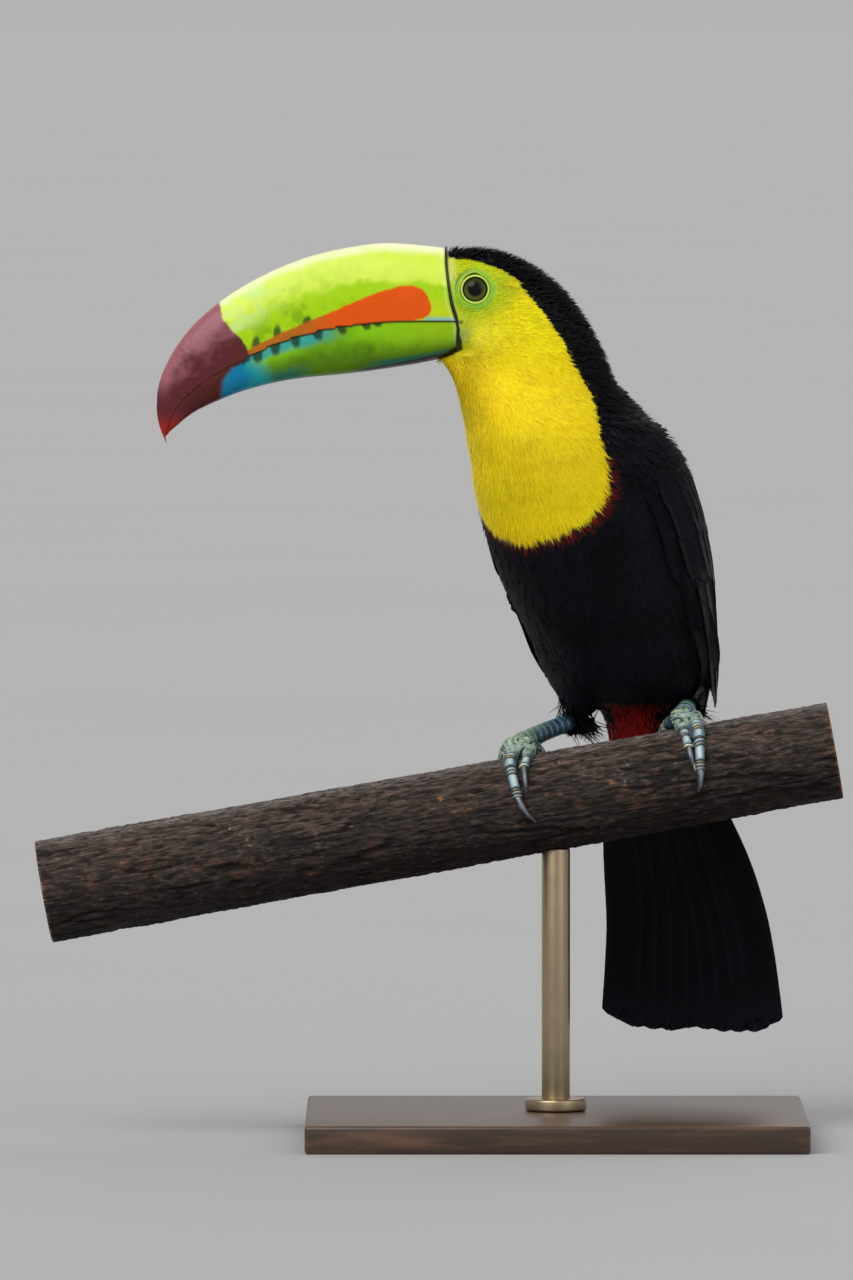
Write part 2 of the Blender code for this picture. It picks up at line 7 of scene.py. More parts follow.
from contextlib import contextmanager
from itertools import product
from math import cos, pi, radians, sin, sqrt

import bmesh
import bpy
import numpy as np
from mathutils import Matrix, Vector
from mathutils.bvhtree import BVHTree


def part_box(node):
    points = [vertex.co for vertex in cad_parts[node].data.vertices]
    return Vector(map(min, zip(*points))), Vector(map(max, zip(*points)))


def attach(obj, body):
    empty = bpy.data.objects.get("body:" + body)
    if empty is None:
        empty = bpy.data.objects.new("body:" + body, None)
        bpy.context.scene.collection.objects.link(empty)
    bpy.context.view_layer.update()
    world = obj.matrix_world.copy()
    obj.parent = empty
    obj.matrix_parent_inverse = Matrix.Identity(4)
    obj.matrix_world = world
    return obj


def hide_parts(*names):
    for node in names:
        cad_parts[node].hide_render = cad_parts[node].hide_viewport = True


bl_info = {
    "name": "Toucan finish",
    "version": (1, 0, 0),
    "blender": (4, 5, 0),
    "location": "View3D > Sidebar > Toucan",
    "description": "Builds the feathers, bill, feet, perch and stand of a mounted toucan",
    "category": "Object",
}

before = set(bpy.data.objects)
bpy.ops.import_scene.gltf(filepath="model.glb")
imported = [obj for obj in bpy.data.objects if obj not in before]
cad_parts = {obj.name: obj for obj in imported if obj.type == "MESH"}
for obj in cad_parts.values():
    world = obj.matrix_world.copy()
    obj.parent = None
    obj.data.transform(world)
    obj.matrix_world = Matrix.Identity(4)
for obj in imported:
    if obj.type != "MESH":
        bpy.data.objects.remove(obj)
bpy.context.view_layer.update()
MM = 0.001

# --- the body's own coordinates ---

# The middle line of the body: height, x, y, and how far its front is turned to the viewer's left.
AXIS = (
    (126.0, 50.0, 51.8, 28), (165.0, 40.0, 42.5, 28), (187.5, 29.9, 28.8, 28), (212.0, 25.3, 18.3, 28),
    (233.0, 19.8, 7.9, 28), (252.0, 15.8, 0.3, 28), (269.0, 11.7, -7.4, 29), (282.0, 7.7, -15.0, 33),
    (295.0, 3.6, -22.0, 40), (303.0, 0.5, -27.0, 48), (314.0, -4.9, -31.0, 62),
    (322.0, -8.3, -33.2, 76), (333.5, -11.0, -34.0, 90), (353.0, -18.0, -34.0, 90),
    (378.0, -34.5, -34.0, 90),
)
# The yellow bib: height, heading of its middle, half angle from there to its edge.
BIB = (
    (250.8, 38, 0), (252.5, 38, 15), (256.0, 39, 29), (262.0, 39, 42), (270.0, 40, 53), (280.0, 42, 62),
    (290.0, 45, 69), (297.0, 49, 75), (305.0, 57, 90), (314.0, 66, 108), (321.0, 77, 122),
    (330.0, 90, 128), (342.0, 90, 130), (353.0, 90, 121), (360.0, 90, 116), (366.0, 90, 121),
    (370.5, 90, 110), (372.8, 90, 84), (374.0, 90, 58), (375.0, 90, 28), (375.8, 90, 0),
)
VENT_HEIGHT = 185.5
HEAD_MIDDLE_Y = -34.0
TAIL_TURN = radians(28)  # how far the tail's front is turned to the viewer's left
TAIL_FRONT = np.array([-sin(TAIL_TURN), -cos(TAIL_TURN), 0.0])

EYE = (-34.5, 361.7)  # x and height of both eyes
EYE_DEPTH = 12.7  # from the head's middle plane to the middle of an eye
EYE_RADIUS = 7.2
LID_RADIUS = 5.15

# The bill from base to tip. Each row: place, culmen x z, gape x z, keel x z, half width.
BILL = (
    (0.00, -41.0, 377.6, -37.0, 347.9, -37.0, 334.8, 16.2),
    (0.10, -53.4, 379.6, -48.0, 348.2, -48.0, 332.2, 15.9),
    (0.25, -72.0, 380.8, -65.0, 348.1, -65.0, 329.0, 14.9),
    (0.43, -98.0, 376.9, -89.0, 346.1, -87.0, 326.0, 13.0),
    (0.60, -124.5, 366.8, -113.5, 340.2, -110.5, 323.6, 10.8),
    (0.75, -147.0, 352.1, -134.0, 331.0, -129.5, 319.3, 8.6),
    (0.86, -161.2, 335.8, -148.5, 322.6, -144.0, 313.9, 6.4),
    (0.94, -168.6, 317.0, -158.6, 314.0, -154.3, 308.7, 4.0),
    (0.98, -168.8, 304.5, -163.4, 306.0, -160.9, 303.2, 2.2),
    (1.00, -164.4, 296.2, -165.0, 299.0, -163.9, 298.6, 0.7),
)
BILL_BASE = (  # the line where the bill meets the face, in profile: height, x
    (333.2, -41.6), (345.5, -41.4), (349.5, -42.6), (356.0, -44.7), (364.0, -46.0), (372.0, -46.9),
    (392.0, -46.9),
)


def smooth(low, high, value):
    """0 below low and 1 above high, with a soft step between; low may be the larger."""
    t = np.clip((value - low) / (high - low), 0.0, 1.0)
    return t * t * (3 - 2 * t)


def bump_at(value, middle, spread):
    """A soft hill round a middle value."""
    return np.exp(-(((value - middle) / spread) ** 2))


def read(table, place, column):
    """A column of a table at some places, straight between its rows."""
    rows = sorted(table)
    return np.interp(place, [row[0] for row in rows], [row[column] for row in rows])


class Track:
    """A smooth curve through rows of numbers that never swings past its own rows."""

    def __init__(self, rows):
        self.at = np.array([row[0] for row in rows], float)
        self.values = np.array([row[1:] for row in rows], float)
        rises = np.diff(self.values, axis=0) / np.diff(self.at)[:, None]
        before, after = rises[:-1], rises[1:]
        same_way = before * after > 0
        total = np.where(same_way, before + after, 1.0)
        middle = np.where(same_way, 2 * before * after / total, 0.0)
        self.slopes = np.vstack([rises[:1], middle, rises[-1:]])

    def __call__(self, places):
        places = np.clip(np.asarray(places, float), self.at[0], self.at[-1])
        i = np.clip(np.searchsorted(self.at, places, side="right") - 1, 0, len(self.at) - 2)
        step = (self.at[i + 1] - self.at[i])[:, None]
        t = (places - self.at[i])[:, None] / step
        return (
            (2 * t**3 - 3 * t**2 + 1) * self.values[i]
            + (t**3 - 2 * t**2 + t) * step * self.slopes[i]
            + (3 * t**2 - 2 * t**3) * self.values[i + 1]
            + (t**3 - t**2) * step * self.slopes[i + 1]
        )


def unit(vectors):
    return vectors / np.maximum(np.linalg.norm(vectors, axis=-1, keepdims=True), 1e-12)


TWIST = np.array([[0.36, 0.48, -0.80], [-0.80, 0.60, 0.00], [0.48, 0.64, 0.60]])


def noise(points, size, seed=0):
    """Smooth noise between -1 and 1, with lumps about `size` across and finer ones on them."""
    p = np.asarray(points, float) @ TWIST / size
    return 0.78 * lattice(p, seed) + 0.40 * lattice(p @ TWIST * 2.03 + 5.7, seed + 101)


def lattice(p, seed):
    """Random values on a lattice of unit cells, blended between its corners."""
    cell = np.floor(p).astype(np.int64)
    f = p - cell
    f = f * f * (3 - 2 * f)
    total = np.zeros(len(p))
    for corner in product((0, 1), repeat=3):
        c = cell + corner
        h = c[:, 0] * 374761393 + c[:, 1] * 668265263 + c[:, 2] * 2246822519 + seed * 3266489917
        h = (h ^ (h >> 13)) * 1274126177 & 0xFFFFFFFF
        value = ((h ^ (h >> 16)) & 0xFFFF) / 32767.5 - 1
        weight = np.prod(np.where(corner, f, 1 - f), axis=1)
        total += weight * value
    return total


def around(points):
    """Where points lie round the body: degrees from the viewer's side to the viewer's right, and
    how far they are from the body's middle line."""
    z = points[:, 2]
    dx = points[:, 0] - read(AXIS, z, 1)
    dy = points[:, 1] - read(AXIS, z, 2)
    return np.degrees(np.arctan2(dx, -dy)), np.hypot(dx, dy)


def turn_from(angles, heading):
    """How far angles lie from a heading, between -180 and 180 degrees."""
    return (angles + heading + 180) % 360 - 180


def off_heading(points, table, column):
    """How far round the body points lie from a table's heading at their height, in degrees."""
    angles, _ = around(points)
    return turn_from(angles, read(table, points[:, 2], column))


def bib_distance(points):
    """How far points lie inside the bib's edge, in millimetres; outside it is negative."""
    z = points[:, 2]
    _, reach = around(points)
    turn = np.abs(off_heading(points, BIB, 1))
    slope = (read(BIB, z + 0.5, 2) - read(BIB, z - 0.5, 2)) * np.radians(1) * reach
    inside = (read(BIB, z, 2) - turn) * np.radians(1) * reach / np.sqrt(1 + slope**2)
    drawn_in = (0.5 + 1.3 * smooth(298, 286, z) + 2.9 * smooth(272, 256, z)) * smooth(332, 318, z)
    drawn_in = drawn_in - 1.3 * bump_at(z, 323, 10) + 1.3 * bump_at(z, 302, 13) + 1.5 * bump_at(z, 270, 9)
    return np.minimum(inside, np.minimum(z - BIB[0][0], BIB[-1][0] - z) + 3.0) - drawn_in


def eye_distance(points):
    return np.hypot(points[:, 0] - EYE[0], points[:, 2] - EYE[1])


def bill_distance(points):
    """How far behind the bill's base points lie."""
    return points[:, 0] - read(BILL_BASE, points[:, 2], 1)


def is_back(points):
    """1 on the bird's back, 0 on its front, soft between."""
    return smooth(85, 115, np.abs(off_heading(points, AXIS, 3)))


def along(way, normals, share=1.0):
    """Directions laid along the surface with these normals, by a share of what they lift off it."""
    return unit(way - share * normals * np.sum(way * normals, axis=1, keepdims=True))


def level(normals):
    """Level directions along the surface with these normals."""
    return unit(np.cross([0.0, 0.0, 1.0], normals))


def lie_of_coat(points, normals):
    """The direction that feathers point in, along the surface."""
    z = points[:, 2]
    high = smooth(352, 369, z)
    source = np.column_stack([-48.0 - 12.0 * high, np.full(len(z), HEAD_MIDDLE_Y), 350.0 + 22.0 * high])
    down = np.array([0.16, 0.34, -0.93])
    aside = level(normals) * np.sin(np.radians(np.clip(off_heading(points, BIB, 1), -110, 110)))[:, None]
    head = smooth(300, 336, z)[:, None]
    body = smooth(262, 240, z)[:, None]
    way = unit(unit(points - source) * head + unit(down + 0.75 * aside) * (1 - head))
    return along(unit(way * (1 - body) + down * body), normals)


# --- settings ---


def colour_prop(name, description, default):
    return bpy.props.FloatVectorProperty(
        name=name, description=description, subtype="COLOR", size=3, min=0, max=1, default=default
    )


def length_prop(name, description, default):
    return bpy.props.FloatProperty(
        name=name, description=description, default=default, min=0.0, unit="LENGTH", precision=5
    )


class ToucanColours(bpy.types.PropertyGroup):
    """Colours of the plumage, bill, skin and legs."""

    yellow: colour_prop("Bib", "Yellow of the face, throat and bib", (0.98, 0.70, 0.001))
    face_yellow: colour_prop("Face yellow", "Lighter yellow of the upper face", (0.95, 0.84, 0.012))
    fan: colour_prop("Fan strands", "Pale tips of the strands behind the bill", (0.84, 0.86, 0.26))
    straw: colour_prop("Strand tips", "Pale tips of the yellow strands", (1.0, 0.85, 0.05))
    ochre: colour_prop("Bib shade", "Darker yellow at the roots and under the bill", (0.50, 0.33, 0.002))
    lemon: colour_prop("Face", "Green-yellow of the face near the eye and bill", (0.62, 0.72, 0.012))
    # Painted rim light along the breast's left edge.
    breast_rim_light: colour_prop("Breast edge", "Pale cream of the breast's bill side", (1.0, 0.90, 0.22))
    # Also painted shade in the folds, hollow and crease round the eye.
    olive: colour_prop("Face shade", "Dark olive of the folds and smudges", (0.06, 0.13, 0.01))
    cap_green: colour_prop("Cap's edge", "Green of the face along the cap", (0.20, 0.42, 0.10))
    band_yellow: colour_prop("Band's edge", "Pale yellow beside the bill's upper base", (0.86, 0.92, 0.30))
    mouth_green: colour_prop("Mouth's corner", "Dark green behind the gape", (0.12, 0.30, 0.18))
    lid_shade: colour_prop("Lid shade", "Dark inner edge of the lid", (0.008, 0.010, 0.005))
    lid: colour_prop("Lid", "Bright edge of the eyelid", (0.80, 0.90, 0.10))
    lime_skin: colour_prop("Eye skin", "Green bare skin round the eye", (0.23, 0.53, 0.012))
    black: colour_prop("Black plumage", "Body, cap, wings and tail", (0.0032, 0.0032, 0.0042))
    # Painted sheen: a faint blue-grey glint laid into the black feathers' colour.
    painted_sheen: colour_prop("Feather edges", "Faint blue-grey edge of the black feathers", (0.010, 0.012, 0.018))
    red: colour_prop("Vent", "Red under the tail's root and below the bib", (0.25, 0.005, 0.003))
    white: colour_prop("Rump", "White above the tail's root", (0.78, 0.77, 0.70))
    lime: colour_prop("Bill green", "Sides of the bill", (0.38, 0.66, 0.003))
    pale_lime: colour_prop("Bill upper", "Pale yellow-green of the bill's upper part", (0.66, 0.84, 0.07))
    # Pale ridge, partly a painted highlight along its top.
    culmen: colour_prop("Culmen", "Cream upper ridge of the bill", (0.88, 0.92, 0.50))
    mint: colour_prop("Bill mint", "Pale mint near the tip", (0.58, 0.82, 0.28))
    green: colour_prop("Lower bill", "Deeper green of the lower half", (0.23, 0.56, 0.001))
    bill_dark: colour_prop("Bill teeth", "Dark green of the tooth marks", (0.012, 0.030, 0.010))
    bill_teal: colour_prop("Bill teal", "Teal along the bill's lower edge", (0.012, 0.17, 0.14))
    cyan: colour_prop("Bill line", "Blue line over the gape near the face", (0.22, 0.50, 0.46))
    bill_cyan: colour_prop("Bill cyan", "Cyan behind the blue of the lower half", (0.012, 0.36, 0.36))
    bill_olive: colour_prop("Bill olive", "Yellow-olive at the base over the gape", (0.66, 0.66, 0.01))
    gape_dark: colour_prop("Gape line", "Dark line between the bill's halves", (0.03, 0.012, 0.004))
    orange: colour_prop("Bill patch", "Orange patch along the gape", (0.76, 0.090, 0.0004))
    orange_front: colour_prop("Patch front", "Browner front of the patch", (0.40, 0.15, 0.010))
    maroon: colour_prop("Bill tip", "Maroon of the tip", (0.105, 0.018, 0.024))
    tip_brown: colour_prop("Tip brown", "Brown of the tip's rear edge", (0.10, 0.020, 0.008))
    tip_dark: colour_prop("Tip dark", "Darkest maroon under the gape", (0.07, 0.010, 0.006))
    # Painted highlight along the tip's ridge.
    tip_ridge_highlight: colour_prop("Tip ridge", "Lighter line along the tip's ridge", (0.50, 0.20, 0.12))
    seam_red: colour_prop("Tip seam", "Red along the tip's gape", (0.42, 0.045, 0.008))
    # Painted sheen on the tip's upper side.
    painted_tip_sheen: colour_prop("Tip top", "Mauve of the tip's upper side", (0.42, 0.15, 0.19))
    claw: colour_prop("Claws", "Dark grey of the claws", (0.022, 0.026, 0.032))
    # Pale streaks of the horn, and also a painted highlight along each claw.
    claw_streak_and_highlight: colour_prop("Claw streaks", "Paler streaks of the claws", (0.20, 0.22, 0.24))
    bark: colour_prop("Bark", "Dark brown of the bark", (0.040, 0.029, 0.024))
    bark_red: colour_prop("Bark red", "Reddish patches of the bark", (0.10, 0.050, 0.032))
    bark_pale: colour_prop("Bark pale", "Paler weathered ridges of the bark", (0.135, 0.100, 0.084))
    # Painted rim light along the top of the bark.
    bark_rim_light: colour_prop("Bark top", "Bleached line along the top of the bark", (0.185, 0.160, 0.150))
    bark_fleck: colour_prop("Bark flecks", "Orange slivers of bared wood", (0.26, 0.115, 0.050))
    lichen: colour_prop("Lichen", "Pale flecks on the bark", (0.20, 0.20, 0.18))
    wood: colour_prop("Cut wood", "Pale wood of the cut ends", (0.46, 0.31, 0.17))
    wood_dark: colour_prop("Cut edge", "Darker wood under the bark", (0.22, 0.12, 0.06))
    walnut: colour_prop("Stand wood", "Light grain of the base", (0.115, 0.055, 0.028))
    walnut_dark: colour_prop("Stand grain", "Dark grain of the base", (0.035, 0.017, 0.010))
    bronze: colour_prop("Stand metal", "Bronze of the rod and collar", (0.42, 0.33, 0.21))
    tip_red: colour_prop("Tip end", "Red of the very tip", (0.36, 0.015, 0.008))
    blue: colour_prop("Bill blue", "Blue of the lower half's front", (0.002, 0.20, 0.38))
    scute: colour_prop("Scutes", "Blue plates of the toes", (0.28, 0.42, 0.49))
    scute_pale: colour_prop("Pale scutes", "Cream plates between the blue ones", (0.74, 0.76, 0.56))
    scute_tan: colour_prop("Tan scutes", "Tan plates of the toes", (0.36, 0.31, 0.14))
    scute_grey: colour_prop("Last scutes", "Grey plates next to the claws", (0.34, 0.40, 0.38))
    teal_dark: colour_prop("Leg shade", "Dark blue of the shanks", (0.024, 0.085, 0.13))
    leg_green: colour_prop("Foot green", "Green of the wrinkled tops of the feet", (0.22, 0.34, 0.20))


class ToucanSizes(bpy.types.PropertyGroup):
    """Sizes of the coat and its tufts."""

    skin_grain: length_prop("Skin grain", "Size of the skin's facets", 0.0013)
    foot_grain: length_prop("Foot grain", "Size of the facets of the feet", 0.00046)
    strand_length: length_prop("Strand", "Length of a yellow strand on the bib", 0.0090)
    strand_width: length_prop("Strand width", "Width of a yellow strand", 0.00043)
    feather_length: length_prop("Contour feather", "Length of a black body feather", 0.0150)
    feather_width: length_prop("Contour width", "Width of a black body feather", 0.0064)
    bark_relief: length_prop("Bark relief", "Depth of the bark's furrows", 0.0011)
    density: bpy.props.FloatProperty(
        name="Density", description="Share of the full number of tufts", default=1.0, min=0.05, max=1.0
    )


class StageSettings(bpy.types.PropertyGroup):
    """Camera, floor and light."""

    floor: colour_prop("Floor", "Colour of the floor and backdrop", (0.464, 0.464, 0.464))
    distance: length_prop("Camera distance", "From the camera to the perch", 6.0)
    key_light: bpy.props.FloatProperty(
        name="Key light", description="Strength of the main soft light", default=1.9, min=0
    )


def colours():
    return bpy.context.scene.toucan_colours


def sizes():
    return bpy.context.scene.toucan_sizes


def rgb(name):
    return np.array(getattr(colours(), name)[:])


# --- mesh helpers ---


def deselect():
    if bpy.context.mode != "OBJECT":
        bpy.ops.object.mode_set(mode="OBJECT")
    bpy.ops.object.select_all(action="DESELECT")


def pick(obj):
    deselect()
    bpy.context.view_layer.objects.active = obj
    obj.select_set(True)


def new_object(name, mesh):
    made = bpy.data.objects.new(name, mesh)
    bpy.context.scene.collection.objects.link(made)
    return made


def gather(items, key, width, kind):
    """One property of all a mesh's items as an array of rows."""
    values = np.empty(len(items) * width, kind)
    items.foreach_get(key, values)
    return values.reshape(-1, width)


def mesh_object(name, points, quads, smooth_shading=True):
    """A new object from an array of points in millimetres and an array of faces."""
    mesh = bpy.data.meshes.new(name)
    quads = np.asarray(quads, np.int32)
    corners = quads.shape[1]
    mesh.vertices.add(len(points))
    mesh.vertices.foreach_set("co", (np.asarray(points, np.float64) * MM).astype(np.float32).ravel())
    mesh.loops.add(quads.size)
    mesh.loops.foreach_set("vertex_index", quads.ravel())
    mesh.polygons.add(len(quads))
    mesh.polygons.foreach_set("loop_start", np.arange(0, quads.size, corners, dtype=np.int32))
    mesh.update(calc_edges=True)
    mesh.polygons.foreach_set("use_smooth", np.full(len(quads), smooth_shading))
    return new_object(name, mesh)


def points_of(mesh):
    return gather(mesh.vertices, "co", 3, np.float32).astype(float) / MM


def normals_of(mesh):
    return gather(mesh.vertex_normals, "vector", 3, np.float32).astype(float)


def set_points(mesh, points):
    mesh.vertices.foreach_set("co", (points * MM).astype(np.float32).ravel())
    mesh.update()


def paint(mesh, values):
    """Gives each vertex a colour, in the attribute that the materials read."""
    layer = mesh.attributes.new("colour", "FLOAT_COLOR", "POINT")
    values = np.broadcast_to(np.clip(values, 0, 1), (len(mesh.vertices), 3))
    filled = np.concatenate([values, np.ones((len(values), 1))], axis=1)
    layer.data.foreach_set("color", filled.astype(np.float32).ravel())


def mix(a, b, weight):
    """Colour a blended into colour b; weight is one value for each row."""
    weight = np.asarray(weight)[:, None]
    return np.asarray(a) * (1 - weight) + np.asarray(b) * weight


def layered(colour, *coats):
    """A colour with tones laid over it in turn: each a name or a colour, its strength, its weight."""
    for tone, strength, weight in coats:
        colour = mix(colour, (rgb(tone) if isinstance(tone, str) else tone) * strength, weight)
    return colour


def grid_faces(rows, columns, wrap=False):
    """Faces of a grid of points; wrap joins the last column to the first."""
    r = np.arange(rows - 1)[:, None]
    c = np.arange(columns if wrap else columns - 1)[None, :]
    d = (c + 1) % columns
    a = r * columns + c
    b = r * columns + d
    return np.stack([a, b, b + columns, a + columns], axis=-1).reshape(-1, 4)


@contextmanager
def edited(obj):
    """A piece's mesh as a bmesh, written back at the end."""
    form = bmesh.new()
    form.from_mesh(obj.data)
    yield form
    form.to_mesh(obj.data)
    form.free()


def turn_outwards(obj):
    with edited(obj) as form:
        bmesh.ops.remove_doubles(form, verts=form.verts, dist=1e-7)
        bmesh.ops.recalc_face_normals(form, faces=form.faces)
    return obj


def close_ends(obj):
    with edited(obj) as form:
        bmesh.ops.holes_fill(form, edges=[e for e in form.edges if e.is_boundary], sides=0)
        bmesh.ops.recalc_face_normals(form, faces=form.faces)
    return obj


def apply_modifier(obj, kind, **settings):
    pick(obj)
    modifier = obj.modifiers.new(kind.lower(), kind)
    for key, value in settings.items():
        setattr(modifier, key, value)
    bpy.ops.object.modifier_apply(modifier=modifier.name)


def copy_nodes(name, *nodes):
    """One new object from copies of CAD nodes, each merged into a closed mesh."""
    copies = [turn_outwards(new_object(name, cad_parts[node].data.copy())) for node in nodes]
    made = join(name, *copies)
    made.data.materials.clear()
    return made


def settle(obj, material, slot_name, *nodes):
    """Gives a piece its material, makes it ride and stand for its CAD nodes; its slot name is not used."""
    if material:
        obj.data.materials.append(material)
    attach(obj, "root")
    if nodes:
        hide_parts(*nodes)
    return obj


def ball(side, radius, segments, rings, **turn):
    """A sphere round the middle of an eye."""
    place = [v * MM for v in (EYE[0], HEAD_MIDDLE_Y + side * EYE_DEPTH, EYE[1])]
    bpy.ops.mesh.primitive_uv_sphere_add(
        segments=segments, ring_count=rings, radius=radius * MM, location=place, **turn
    )
    return bpy.context.object


def feed(tree, socket, value):
    """Links an input from another socket, or sets its value."""
    if isinstance(value, bpy.types.NodeSocket):
        tree.links.new(value, socket)
    else:
        socket.default_value = value


# --- material helpers ---


def node(tree, kind, inputs, output=0, **settings):
    """Adds a node, feeds its inputs and returns one of its outputs."""
    made = tree.nodes.new("ShaderNode" + kind)
    for key, value in settings.items():
        setattr(made, key, value)
    for key, value in inputs.items():
        feed(tree, made.inputs[key], value)
    return made.outputs[output]


def here(tree):
    """The place on the object, in metres."""
    return node(tree, "TexCoord", {}, "Object")


def speckle(tree, place, scale, detail, roughness=0.5):
    inputs = {"Vector": place, "Scale": scale, "Detail": detail, "Roughness": roughness}
    return node(tree, "TexNoise", inputs)


def stretched(tree, place, scale):
    return node(tree, "Mapping", {"Vector": place, "Scale": scale})


def ramp(tree, factor, stops):
    colour = node(tree, "ValToRGB", {"Fac": factor})
    points = colour.node.color_ramp.elements
    while len(points) < len(stops):
        points.new(0.5)
    for point, (place, tone) in zip(points, stops):
        point.position = place
        point.color = (*tone, 1.0)
    return colour


def maths(tree, operation, a, b=None):
    return node(tree, "Math", {0: a} if b is None else {0: a, 1: b}, operation=operation)


def hypotenuse(tree, a, b):
    return maths(tree, "SQRT", maths(tree, "ADD", *(maths(tree, "MULTIPLY", v, v) for v in (a, b))))


def times_colour(tree, factor, a, b):
    """Colour a multiplied by colour b, by a factor."""
    made = tree.nodes.new("ShaderNodeMix")
    made.data_type, made.blend_type = "RGBA", "MULTIPLY"
    for key, value in (("Factor", factor), ("A", a), ("B", b)):
        feed(tree, next(s for s in made.inputs if s.name == key and s.enabled), value)
    return next(s for s in made.outputs if s.enabled)


def dimmed(tree, colour, factor):
    """A colour times a single value."""
    shade = node(tree, "CombineColor", {0: factor, 1: factor, 2: factor})
    return times_colour(tree, 1.0, colour, shade)


def new_material(name):
    """An empty material with its own shader; returns the material, its tree and the shader."""
    material = bpy.data.materials.new(name)
    material.use_nodes = True
    return material, material.node_tree, material.node_tree.nodes["Principled BSDF"]


def new_group(name, inputs, outputs):
    """A shader node group; returns its tree, its inputs by name and its outputs by name."""
    group = bpy.data.node_groups.new(name, "ShaderNodeTree")
    for key, (kind, default) in inputs.items():
        socket = group.interface.new_socket(key, in_out="INPUT", socket_type="NodeSocket" + kind)
        socket.default_value = default
    for key, kind in outputs.items():
        group.interface.new_socket(key, in_out="OUTPUT", socket_type="NodeSocket" + kind)
    given = group.nodes.new("NodeGroupInput").outputs
    return group, given, group.nodes.new("NodeGroupOutput").inputs


def use_group(tree, name, **inputs):
    """Adds a shared group and returns its outputs."""
    made = tree.nodes.new("ShaderNodeGroup")
    made.node_tree = bpy.data.node_groups[name]
    for key, value in inputs.items():
        feed(tree, made.inputs[key], value)
    return made.outputs


def make_shared_groups():
    """Mottle varies a colour from place to place; fine grain gives a height for bumps."""
    inputs = {"Color": ("Color", (0.5, 0.5, 0.5, 1)), "Scale": ("Float", 200.0), "Amount": ("Float", 0.3)}
    tree, given, out = new_group("mottle", inputs, {"Color": "Color", "Value": "Float"})
    patches = speckle(tree, here(tree), given["Scale"], 4.0, 0.6)
    swing = maths(tree, "MULTIPLY", maths(tree, "SUBTRACT", patches, 0.5), 2.0)
    factor = maths(tree, "ADD", maths(tree, "MULTIPLY", swing, given["Amount"]), 1.0)
    feed(tree, out["Color"], dimmed(tree, given["Color"], factor))
    feed(tree, out["Value"], patches)

    inputs = {"Scale": ("Float", 800.0), "Stretch": ("Vector", (1.0, 1.0, 1.0))}
    tree, given, out = new_group("fine_grain", inputs, {"Height": "Float"})
    place = stretched(tree, here(tree), given["Stretch"])
    feed(tree, out["Height"], speckle(tree, place, given["Scale"], 6.0, 0.65))


def painted(tree):
    return node(tree, "Attribute", {}, "Color", attribute_name="colour")


def dress(tree, shader, colour, rough, bump=None, **constants):
    """Feeds a shader its colour, its roughness between two ends, its bump and its constants."""
    feed(tree, shader.inputs["Base Color"], colour)
    value, low, high = rough
    spread = node(tree, "MapRange", {"Value": value, "To Min": low, "To Max": high})
    feed(tree, shader.inputs["Roughness"], spread)
    if bump:
        height, strength, distance = bump
        raised = node(tree, "Bump", {"Height": height, "Strength": strength, "Distance": distance})
        feed(tree, shader.inputs["Normal"], raised)
    set_constants(shader, **constants)


def set_constants(shader, **constants):
    """Sets sockets of a shader by short names."""
    for key, value in constants.items():
        shader.inputs[CONSTANTS[key]].default_value = value


CONSTANTS = {"coat": "Coat Weight", "coat_rough": "Coat Roughness", "specular": "Specular IOR Level",
             "metal": "Metallic", "rough": "Roughness"}


def painted_material(name, low, high, scale, amount, grain=None, bump=0.0, coat=0.0, specular=0.5):
    """A finish whose colour is painted on the mesh, with small variation and a fine bump."""
    material, tree, shader = new_material(name)
    varied = use_group(tree, "mottle", Color=painted(tree), Scale=scale, Amount=amount)
    height = use_group(tree, "fine_grain", Scale=grain)["Height"] if grain else None
    dress(tree, shader, varied["Color"], (varied["Value"], low, high),
        (height, bump, 0.0004) if grain else None, coat=coat, coat_rough=0.12, specular=specular)
    return material


# --- feathers as mesh ---


